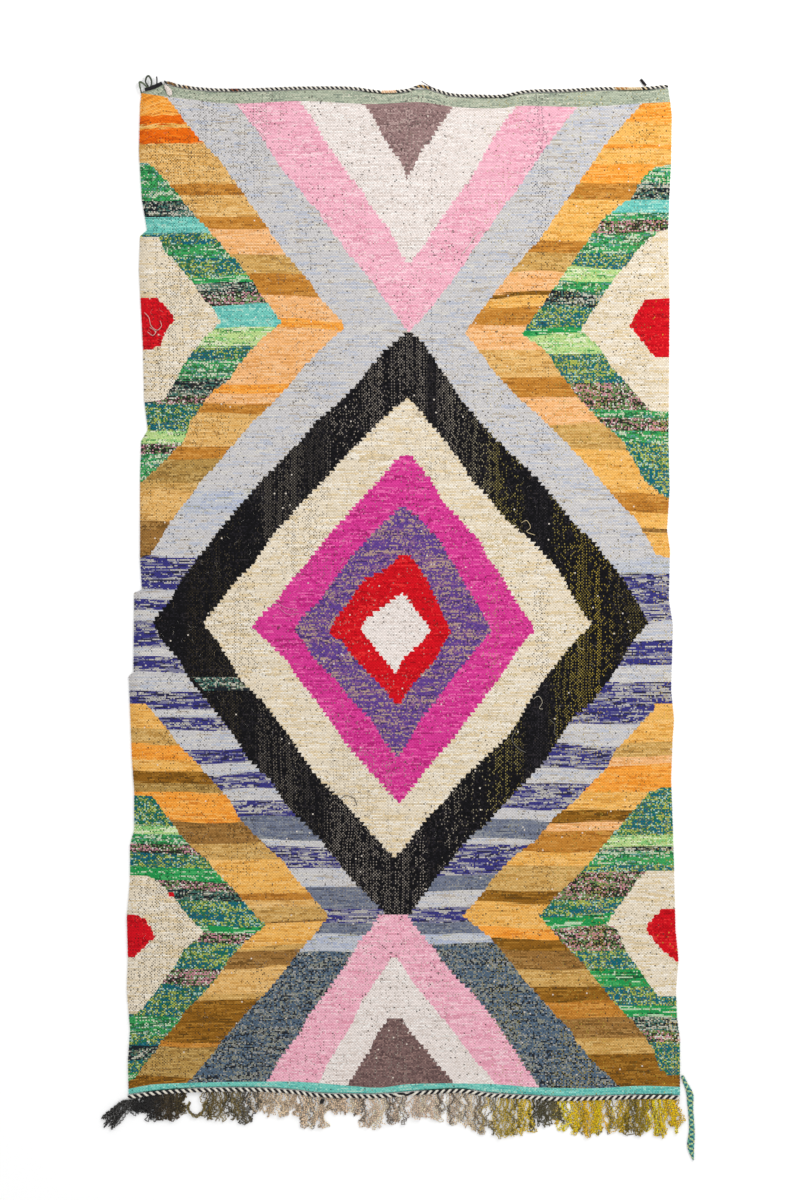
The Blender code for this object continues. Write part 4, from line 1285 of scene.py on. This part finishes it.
# A loop's yarn, and the locks that the loops gather in
FRINGE_RADIUS = 0.00115
FRINGE_SEED = 19
LAYERS = (0.0016, 0.0034, 0.0052)
LOOP_TONES = (0.55, 0.84, 0.98, 1.04, 1.08, 1.12)
LOCK_WIDTH = 0.021
LOCK_GATHER = 0.9
TUFT_GATHER = 0.94
LOCK_SWAY = 0.007
LOCK_SWAYS = (0.4, 1.0)
LOCK_TURNS = (3.5, 6.5)
SWAY_EASE = 1.2
ROOT_COVER = 0.003
CROSSING_SHARE = 0.3
LONGEST_SHORTENING = 0.026
SHORTENING_CURVE = 1.8
YARN_SIZES = (0.85, 1.2)
TIP_JITTER = 0.003
TONE_JITTER = 0.012
TUFT_RAGGEDNESS = 0.007

# The way of a loop's leg, and its kinks, which start anywhere in a full turn
FULL_TURN = 6.28
LEG_WANDER = 0.024
LEG_WANDER_SCALE = 3.4
LEG_WANDER_EASE = 2.5
LEG_STEPS = 36
KINK_SPREAD = 0.0026
KINK_SPREADS = (0.75, 1.25)
KINK_LENGTH = 0.0105
KINK_LIFT = 0.0012
KINK_LIFT_RATE = 1.7
KINK_EASE = 8
OVERTONE = 2.3
OVERTONE_SHARE = 0.3
KINK_WANDER = 2.2
WANDER_SCALE = 30
PHASE_SPREAD = 0.7

# Half the distance between a loop's two legs, how deep its turn hangs, and the turn's steps
LEG_HALF_GAPS = (0.0015, 0.0045)
TURN_DEPTH = 1.4
TURN_STEPS = 5

# Stray cut ends: their share of the loops, their kinks, headings and lengths, and where they start
STRAY_SHARE = 0.7
STRAY_KINK = 0.0014
STRAY_HEADINGS = (-2.7, -0.4)
STRAY_LENGTHS = (0.008, 0.02)
STRAY_START = 0.012
STRAY_STEPS = 12
STRAY_THINNESS = 0.8


def fringe_start(across):
    return beside_line(BOTTOM_LINE, across, -(BOTTOM_CORD_WIDTH / 2 + CORD_CLEARANCE))


def warp_colour(across):
    x = across / MM
    for (low, first), (high, second) in zip(FRINGE_COLOURS, FRINGE_COLOURS[1:]):
        if x <= high:
            t = min(max((x - low) / (high - low), 0.0), 1.0)
            return tuple(a + (b - a) * t for a, b in zip(first, second))
    return FRINGE_COLOURS[-1][1]


def kinky(path, chance, spread, wave, phase=None):
    """A smooth path made kinked like yarn that was woven and let go."""
    phase = chance.uniform(0, FULL_TURN) if phase is None else phase
    lift_phase = chance.uniform(0, FULL_TURN)
    found = []
    along = 0.0
    seed = chance.uniform(0, 500)
    for i, place in enumerate(path):
        before = path[max(i - 1, 0)]
        after = path[min(i + 1, len(path) - 1)]
        direction = (after - before).normalized()
        side = Vector((-direction.y, direction.x, 0.0))
        along += (place - before).length
        share = i / (len(path) - 1)
        ease = min(share * KINK_EASE, (1 - share) * KINK_EASE, 1.0)
        wander = noise.noise(Vector((along * WANDER_SCALE, seed, 0.0))) * KINK_WANDER
        angle = along / wave * 2 * math.pi + phase + wander * 2
        swing = math.sin(angle) + OVERTONE_SHARE * math.sin(OVERTONE * angle + phase)
        lift = math.sin(along / wave * KINK_LIFT_RATE * math.pi + lift_phase)
        moved = place + side * (spread * ease * (swing + wander))
        moved += direction * (spread * 0.5 * ease * lift)
        moved.z = max(place.z + lift * KINK_LIFT * ease, FRINGE_RADIUS)
        found.append(moved)
    return found


def hanging_leg(chance, root, tip, layer, sway):
    """One leg of a warp loop, which sways with its lock and wanders on its own."""
    seed = chance.uniform(0, 500)
    way = []
    for i in range(LEG_STEPS + 1):
        t = i / LEG_STEPS
        eased = t * t * (3 - 2 * t)
        wander = noise.noise(Vector((t * LEG_WANDER_SCALE, seed, 0.0))) * LEG_WANDER
        wander *= min(t * LEG_WANDER_EASE, 1.0)
        across = root.x + (tip.x - root.x) * eased + wander + sway(t)
        way.append(Vector((across, root.y + (tip.y - root.y) * t, layer)))
    return way


def hanging_loop(chance, root, tip, layer, sway):
    """A warp loop from the cord down to its tip and back."""
    half = Vector((chance.uniform(*LEG_HALF_GAPS), 0.0, 0.0))
    down = hanging_leg(chance, root - half, tip - half, layer, sway)
    back = hanging_leg(chance, root + half, tip + half, layer, sway)[::-1]
    middle = (down[-1] + back[0]) / 2
    turn = []
    for i in range(1, TURN_STEPS):
        angle = math.pi * i / TURN_STEPS
        below = -math.sin(angle) * half.x * TURN_DEPTH
        turn.append(middle + Vector((-math.cos(angle) * half.x, below, 0.0)))
    return down + turn + back


def loop_spacing(across):
    if across < DARK_CORNER:
        return DARK_LOOP_SPACING
    return YELLOW_LOOP_SPACING if across > YELLOW_FROM else LOOP_SPACING


def stray_end(chance, tip, layer):
    """A short cut end that sticks out of a tuft's tip."""
    heading = chance.uniform(*STRAY_HEADINGS)
    length = chance.uniform(*STRAY_LENGTHS)
    lean = Vector((math.cos(heading), math.sin(heading), 0.0)) * length
    start = Vector((tip.x, tip.y + STRAY_START, layer))
    return [start + lean * (i / STRAY_STEPS) for i in range(STRAY_STEPS + 1)]


def fringe_tone(chance, across):
    """The dye of one loop: mostly its place's colour, now and then a darker or paler yarn."""
    colour = warp_colour(across + chance.uniform(-TONE_JITTER, TONE_JITTER))
    tone = chance.choice(LOOP_TONES)
    return linear(tuple(min(252, value * tone) for value in colour))


def fringe_lock(yarns, chance, root_x, width, tip_x, tip_y):
    """A lock of warp loops that leave the cord side by side, cross, and gather towards their tips."""
    phase = chance.uniform(0, 2 * math.pi)
    turns = chance.uniform(*LOCK_TURNS)
    reach = chance.uniform(*LOCK_SWAYS) * LOCK_SWAY

    def sway(t):
        return reach * math.sin(phase + turns * t) * math.sin(math.pi * min(t * SWAY_EASE, 1.0))

    count = max(2, round(width / loop_spacing(root_x)))
    for i in range(count):
        share = (i + 0.5) / count - 0.5
        across = root_x + share * width
        root = Vector((across, fringe_start(across) + ROOT_COVER, 0.0))
        layer = chance.choice(LAYERS)
        side = share if chance.random() < 1 - CROSSING_SHARE else -share
        short = chance.uniform(0.0, 1.0) ** SHORTENING_CURVE * LONGEST_SHORTENING
        end = tip_x + side * width * LOCK_GATHER + chance.uniform(-TIP_JITTER, TIP_JITTER)
        tip = Vector((end, tip_y + short, 0.0))
        dye = fringe_tone(chance, across)
        spread = KINK_SPREAD * chance.uniform(*KINK_SPREADS)
        start = phase + chance.uniform(-PHASE_SPREAD, PHASE_SPREAD)
        way = kinky(hanging_loop(chance, root, tip, layer, sway), chance, spread, KINK_LENGTH, start)
        yarns.add(way, FRINGE_RADIUS * chance.uniform(*YARN_SIZES), dye, 4)
        if chance.random() < STRAY_SHARE:
            way = kinky(stray_end(chance, tip, layer), chance, STRAY_KINK, KINK_LENGTH)
            yarns.add(way, FRINGE_RADIUS * STRAY_THINNESS, dye, 4)


def fringe(name, tufts, material, corner=False):
    """Kinked warp loops, gathered in locks and tufts, that lie over and under each other on the floor."""
    yarns = YarnMesh()
    chance = random.Random(FRINGE_SEED)
    for first, last, first_tip, last_tip, drift in tufts:
        width = (last - first) * MM
        locks = max(1, round(width / LOCK_WIDTH))
        for i in range(locks):
            share = (i + 0.5) / locks
            root_x = first * MM + share * width
            tip_x = first * MM + (0.5 + (share - 0.5) * TUFT_GATHER) * width + drift * MM
            tip_x += chance.uniform(-TIP_JITTER, TIP_JITTER)
            tip_y = (first_tip + (last_tip - first_tip) * share) * MM
            tip_y += chance.uniform(0.0, TUFT_RAGGEDNESS)
            fringe_lock(yarns, chance, root_x, width / locks, tip_x, tip_y)
    if corner:
        corner_tassel(yarns, chance)
        open_loop(yarns, chance)
    return yarns.make(name, material)


def corner_tassel(yarns, chance):
    """The black yarns of the corner, gathered and splayed out to the left."""
    for i in range(TASSEL_STRANDS):
        root, bend, tip = (Vector((*point, 0.0)) * MM for point in CORNER_TASSEL[i % len(CORNER_TASSEL)])
        layer = TASSEL_HEIGHT + TASSEL_LAYER * (i % 3)
        splay = [chance.uniform(-TASSEL_SPLAY, TASSEL_SPLAY) for _ in range(2)]
        way = []
        for k in range(TASSEL_STEPS + 1):
            t = k / TASSEL_STEPS
            place = root * (1 - t) ** 2 + bend * (2 * t * (1 - t)) + tip * t**2
            place += Vector((*splay, layer)) * min(TASSEL_ROOT_SHARE + t * 2, 1.0)
            place.z = layer
            way.append(place)
        tone = chance.choice(TASSEL_TONES)
        dye = linear((tone, tone - 2, tone - 4))
        yarns.add(kinky(way, chance, KINK_SPREAD, TASSEL_KINK_LENGTH), TASSEL_RADIUS, dye, 5)


def smooth_route(points, count):
    """Even points on a smooth curve through the given ones."""
    spans = len(points) - 1
    found = []
    for i in range(count):
        place = i / (count - 1) * spans
        index = min(int(place), spans - 1)
        t = place - index
        start = points[index]
        end = points[index + 1]
        before = points[index - 1] if index else start * 2 - end
        after = points[index + 2] if index + 2 <= spans else end * 2 - start
        leave = (end - before) / 2
        arrive = (after - start) / 2
        curve = start * (2 * t**3 - 3 * t**2 + 1) + leave * (t**3 - 2 * t**2 + t)
        curve += end * (3 * t**2 - 2 * t**3) + arrive * (t**3 - t**2)
        found.append(curve)
    return found


def open_loop(yarns, chance):
    """The thick brown warp loop that stands open beside the black tufts."""
    for i in range(OPEN_LOOP_STRANDS):
        height = OPEN_LOOP_HEIGHT + i * OPEN_LOOP_LAYER
        points = [Vector((x * MM, y * MM, height)) for x, y in OPEN_LOOP]
        centre = sum(points, Vector()) / len(points)
        size = OPEN_LOOP_SMALLEST + i * OPEN_LOOP_GROWTH
        grown = [centre + (point - centre) * size for point in points]
        way = kinky(smooth_route(grown, 50), chance, *OPEN_LOOP_KINKS)
        yarns.add(way, OPEN_LOOP_RADIUS, linear((104 + i * 8, 90 + i * 8, 62)), 5)


# Braided tail at the right-hand corner: place across, distance up, width
TAIL_ROUTE = (
    (750, -1309, 8), (757, -1326, 11), (765, -1343, 14), (771, -1360, 19), (772, -1380, 18),
    (773, -1403, 15), (775, -1428, 15), (776, -1454, 16), (775, -1476, 19), (773, -1497, 20),
    (776, -1518, 13), (780, -1537, 3),
)

# The yarns of the plait, and how they wind
TAIL_COLOURS = ((44, 120, 126), (196, 206, 140), (36, 90, 106), (116, 188, 158))
TAIL_STRANDS = 4
TAIL_HEIGHT = 0.0032
PLAIT_LENGTH = 0.026
PLAIT_LIFT = 0.0012
THICKEST_STRAND = 0.0026
THINNEST_STRAND = 0.0007
STRAND_SHARE = 0.14
STRAND_FLATNESS = 0.8


def braided_tail(material):
    """A flat plait of four yarns, laid along the route of its solid."""
    yarns = YarnMesh()
    rows = smooth_route([Vector(row) * MM for row in TAIL_ROUTE], 120)
    route = [Vector((row.x, row.y, TAIL_HEIGHT)) for row in rows]
    for k in range(TAIL_STRANDS):
        path = []
        radii = []
        along = 0.0
        for i, place in enumerate(route):
            before = route[max(i - 1, 0)]
            after = route[min(i + 1, len(route) - 1)]
            direction = (after - before).normalized()
            side = Vector((-direction.y, direction.x, 0.0))
            along += (place - before).length
            phase = along / PLAIT_LENGTH * 2 * math.pi + 2 * math.pi * k / TAIL_STRANDS
            strand = min(THICKEST_STRAND, THINNEST_STRAND + rows[i].z * STRAND_SHARE)
            reach = max(rows[i].z / 2 - strand, 0.0)
            lift = Vector((0, 0, math.cos(2 * phase) * PLAIT_LIFT))
            path.append(place + side * (math.sin(phase) * reach) + lift)
            radii.append(strand)
        yarns.add(path, radii, linear(TAIL_COLOURS[k]), 8, STRAND_FLATNESS)
    return yarns.make("plaited_tail", material)


# Yarn ends at the top corners: place across, distance up, width
KNOT_BAR = ((-701, 1353, 11), (-686, 1357, 12), (-668, 1364, 13), (-654, 1371, 10))
KNOT_LOOP = ((-690, 1358, 5), (-699, 1376, 6), (-692, 1390, 7), (-683, 1378, 6), (-684, 1362, 5))
KNOT_STUB = ((-669, 1362, 6), (-668, 1380, 4), (-669, 1388, 2))
KNOT_TAIL = ((-690, 1356, 6), (-706, 1370, 7), (-715, 1372, 8), (-712, 1352, 4), (-710, 1343, 3))
TUFT_ROUTE = ((-647, 1365, 5), (-641, 1357, 12), (-635, 1347, 16), (-630, 1338, 6))
RIGHT_TAIL = ((652, 1365, 8), (645, 1373, 10), (638, 1382, 9))

# Bundles of those yarns: route, points along it, gap under it, strands, radius and colour
KNOT_PARTS = (
    (KNOT_BAR, 24, 0.0, 4, 0.0021, (30, 28, 32)),
    (KNOT_LOOP, 30, 0.0006, 2, 0.0018, (84, 90, 78)),
    (KNOT_STUB, 14, 0.0012, 1, 0.0018, (34, 32, 34)),
    (KNOT_TAIL, 30, 0.0, 2, 0.0017, (96, 106, 84)),
)
RIGHT_PART = (RIGHT_TAIL, 16, 0.0003, 3, 0.0018, (28, 24, 28))
TUFT_PARTS = (
    (TUFT_ROUTE, 20, 0.0007, 9, 0.0012, (236, 226, 218)),
    (TUFT_ROUTE, 20, 0.0014, 6, 0.0008, (228, 210, 200)),
)

# Gap between the cloth and the knot on it, rise of a bundle's middle, and waves of its strands
REST_GAP = 0.0006
BUNDLE_RISE = 0.002
STRAND_WAVE = 0.0009
RIGHT_WAVE = 0.0004
TUFT_WAVES = (0.0022, 0.004)
STRAND_WAVE_RATE = 0.4
KNOT_SEED = 3
TUFT_SEED = 8


def strand_bundle(yarns, part, base, chance, wave=STRAND_WAVE):
    """Several yarns side by side along a route of place across, distance up and width."""
    table, count, gap, strands, radius, colour = part
    rows = smooth_route([Vector(row) * MM for row in table], count)
    for k in range(strands):
        path = []
        lane = (k + 0.5) / strands * 2 - 1
        seed = chance.uniform(0, 99)
        for i, row in enumerate(rows):
            before = rows[max(i - 1, 0)]
            after = rows[min(i + 1, count - 1)]
            direction = (after - before).xy.normalized()
            reach = max(row.z / 2 - radius, 0.0) * lane
            stray = noise.noise(Vector((i * STRAND_WAVE_RATE, seed, 0.0))) * wave
            lift = base + gap + radius + (1 - lane * lane) * BUNDLE_RISE
            across = row.x - direction.y * (reach + stray)
            path.append(Vector((across, row.y + direction.x * (reach + stray), lift)))
        yarns.add(path, radius, linear(colour), 6)


def corner_yarns(material):
    """The knotted yarns of the top left corner, and the black end of the top right one."""
    chance = random.Random(KNOT_SEED)
    knot = YarnMesh()
    for part in KNOT_PARTS:
        strand_bundle(knot, part, CLOTH_THICK + REST_GAP, chance)
    right = YarnMesh()
    strand_bundle(right, RIGHT_PART, 0.0, chance, RIGHT_WAVE)
    return knot.make("knotted_yarn", material), right.make("black_yarn_end", material)


def pale_tuft(material):
    """Loose fibres of unspun wool that lie in one lock."""
    chance = random.Random(TUFT_SEED)
    yarns = YarnMesh()
    for part, wave in zip(TUFT_PARTS, TUFT_WAVES):
        strand_bundle(yarns, part, CLOTH_THICK, chance, wave)
    return yarns.make("wool_tuft", material)


# Loose threads that lie on the face: points of place across and distance up, radius and colour
LOOSE_THREADS = (
    (((-702, 752), (-690, 738), (-684, 716), (-668, 704), (-656, 716), (-660, 730)),
     0.0007, (236, 216, 206)),
    (((-694, 700), (-680, 690), (-672, 700), (-688, 712)), 0.0007, (232, 206, 196)),
    (((155, 910), (172, 930), (190, 958), (209, 972)), 0.0009, (238, 232, 226)),
    (((315, 184), (330, 190), (340, 172), (330, 160), (352, 151)), 0.0008, (226, 206, 160)),
    (((452, -143), (466, -136), (470, -152), (485, -159)), 0.0008, (214, 196, 150)),
    (((347, -292), (362, -284), (372, -300), (364, -316), (374, -319)), 0.0008, (190, 182, 160)),
    (((300, -376), (290, -400), (306, -424), (328, -436)), 0.0007, (134, 132, 126)),
    (((392, -346), (406, -362), (404, -384), (420, -398)), 0.0007, (128, 124, 112)),
    (((-172, -560), (-158, -552), (-136, -560), (-128, -580)), 0.0008, (58, 54, 52)),
    (((-350, -26), (-322, -44), (-290, -50)), 0.0006, (236, 170, 200)),
    (((-340, -44), (-316, -62), (-284, -60)), 0.0006, (236, 170, 200)),
    (((46, 1376), (62, 1366), (79, 1356)), 0.0011, (92, 76, 80)),
)
THREAD_GAP = 0.0009

# Short hairs of the face: how many, their radius, and how high their ends and middles stand
HAIRS = 2600
HAIR_RADIUS = 0.00022
HAIR_GAP = 0.0008
HAIR_RISE = 0.0011

# Where the hairs lie on the cloth, and how long and bent they are
HAIR_SHARES = (0.01, 0.99)
HAIR_REACH = 1.33
HAIR_LENGTHS = (0.005, 0.016)
HAIR_BEND = 1.4
HAIR_SEED = 41
HAIR_COLOURS = ((240, 236, 228), (228, 218, 200), (150, 140, 128), (60, 56, 56), (214, 190, 150))


def loose_threads(material):
    yarns = YarnMesh()
    for points, radius, colour in LOOSE_THREADS:
        height = CLOTH_THICK + THREAD_GAP + radius
        way = smooth_route([Vector((x * MM, y * MM, height)) for x, y in points], 24)
        yarns.add(way, radius, linear(colour), 5)
    return yarns.make("loose_threads", material)


def surface_fuzz(material):
    """Short hairs that stand a little off the face, all over the cloth."""
    chance = random.Random(HAIR_SEED)
    yarns = YarnMesh()
    for _ in range(HAIRS):
        row = chance.uniform(-HAIR_REACH, HAIR_REACH)
        across, up = cloth_point(chance.uniform(*HAIR_SHARES), row)
        angle = chance.uniform(0, 2 * math.pi)
        bend = chance.uniform(-HAIR_BEND, HAIR_BEND)
        length = chance.uniform(*HAIR_LENGTHS)
        way = []
        for t in (0, 1 / 3, 2 / 3, 1):
            heading = angle + bend * t
            height = CLOTH_THICK + HAIR_GAP + HAIR_RISE * math.sin(math.pi * t)
            reach = length * t
            way.append(Vector((across + math.cos(heading) * reach, up + math.sin(heading) * reach, height)))
        yarns.add(way, HAIR_RADIUS, linear(chance.choice(HAIR_COLOURS)), 3)
    return yarns.make("surface_fuzz", material)


# Black knot at the root of the fringe: its middle, and its reach across and up
FRINGE_KNOT_AT = (-0.222, -1.3775, 0.0078)
FRINGE_KNOT_REACH = (0.0052, 0.0058)
FRINGE_KNOT_ROUNDS = 3
FRINGE_KNOT_STEPS = 20
FRINGE_KNOT_SKEW = 0.7
FRINGE_KNOT_RISE = 0.0012
FRINGE_KNOT_KINKS = (0.0004, 0.012)
FRINGE_KNOT_RADIUS = 0.0013
FRINGE_KNOT_COLOUR = (34, 32, 34)
FRINGE_KNOT_SEED = 2


def fringe_knot(material):
    """A small black knot of yarn at the root of the fringe."""
    chance = random.Random(FRINGE_KNOT_SEED)
    yarns = YarnMesh()
    for i in range(FRINGE_KNOT_ROUNDS):
        way = []
        for k in range(FRINGE_KNOT_STEPS - 1):
            angle = k / FRINGE_KNOT_STEPS * 2 * math.pi
            across = FRINGE_KNOT_AT[0] + FRINGE_KNOT_REACH[0] * math.cos(angle)
            up = FRINGE_KNOT_AT[1] + FRINGE_KNOT_REACH[1] * math.sin(angle + i * FRINGE_KNOT_SKEW)
            way.append(Vector((across, up, FRINGE_KNOT_AT[2] + FRINGE_KNOT_RISE * i)))
        way = kinky(way, chance, *FRINGE_KNOT_KINKS)
        yarns.add(way, FRINGE_KNOT_RADIUS, linear(FRINGE_KNOT_COLOUR), 6)
    return yarns.make("fringe_knot", material)


def set_camera():
    data = bpy.data.cameras.new("camera")
    data.lens = LENS
    data.sensor_width = SENSOR
    data.clip_end = FARTHEST_SEEN
    camera = link(bpy.data.objects.new("camera", data))
    camera.location = CAMERA_AT
    bpy.context.scene.camera = camera


def set_light():
    world = bpy.data.worlds.new("daylight")
    world.use_nodes = True
    background = world.node_tree.nodes["Background"]
    background.inputs["Color"].default_value = (1.0, 1.0, 1.0, 1.0)
    background.inputs["Strength"].default_value = DOME_STRENGTH
    bpy.context.scene.world = world
    bpy.context.scene.view_settings.view_transform = "Standard"
    data = bpy.data.lights.new("soft_lamp", "AREA")
    data.shape = "SQUARE"
    data.size = LAMP_SIZE
    data.energy = LAMP_POWER
    lamp = link(bpy.data.objects.new("soft_lamp", data))
    lamp.location = LAMP_AT
    lamp.rotation_euler = Vector(LAMP_AT).to_track_quat("Z", "Y").to_euler()


def add_floor():
    half = FLOOR_SIZE / 2
    mesh = bpy.data.meshes.new("floor")
    corners = [(-half, -half), (half, -half), (half, half), (-half, half)]
    mesh.from_pydata([(x, y, -FLOOR_DROP) for x, y in corners], [], [(0, 1, 2, 3)])
    make = Maker("floor_white")
    tone = make.noise(make.node("TexCoord").outputs["Object"], FLOOR_PATCH_SCALE)
    value = make.scaled_sum(tone, FLOOR_UNEVENNESS, FLOOR_TONE)
    make.surface(make.combine(value, value, value), FLOOR_ROUGHNESS, FLOOR_SPECULAR)
    mesh.materials.append(make.material)
    floor = link(bpy.data.objects.new("floor", mesh))


def ride_and_replace(piece, slot, *nodes):
    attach(piece, "root")
    if nodes:
        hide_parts(*nodes)


def build():
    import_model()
    set_camera()
    set_light()
    add_floor()

    tail = braided_tail(yarn_material("braid_wool", twist=0.004, shade=0.3, groove_shade=0.15))
    ride_and_replace(tail, "braid_yarn", "braided_tail")

    cloth = rug_cloth()
    ride_and_replace(cloth, "woven_cloth", "rug_cloth")

    twined = yarn_material("twined_wool")
    top = twined_cord("top_twined_yarns", TOP_LINE, TOP_CORD, lambda across: 1.0,
                      TOP_CORD_CHANGES, TOP_CORD_PALE_DARKS, twined)
    ride_and_replace(top, "twined_yarn", "top_twined_cord")
    bottom = twined_cord("bottom_twined_yarns", BOTTOM_LINE, BOTTOM_CORD, bottom_hand, (), (), twined)
    ride_and_replace(bottom, "twined_yarn", "bottom_twined_cord")

    warp = yarn_material("warp_wool", twist=0.003, shade=0.24, shade_bands=0.5)
    west = fringe("west_fringe", TUFTS[:14], warp, corner=True)
    east = fringe("east_fringe", TUFTS[14:], warp)
    knot = fringe_knot(warp)
    for piece in (west, east, knot):
        ride_and_replace(piece, "warp_yarn", "bottom_fringe")

    black = yarn_material("black_wool", twist=0.004, shade=0.2, groove_shade=0.1)
    knotted, right_end = corner_yarns(black)
    ride_and_replace(knotted, "black_yarn", "top_left_knot")
    ride_and_replace(right_end, "black_yarn", "top_right_tail")
    tuft = pale_tuft(yarn_material("loose_wool", twist=0.006, shade=0.1, sheen=0.2))
    ride_and_replace(tuft, "pale_wool", "top_left_tuft")

    hairs = yarn_material("stray_wool", twist=0.004, shade=0.1)
    threads = loose_threads(hairs)
    ride_and_replace(threads, "pale_wool")
    fuzz = surface_fuzz(hairs)
    ride_and_replace(fuzz, "woven_cloth")


build()
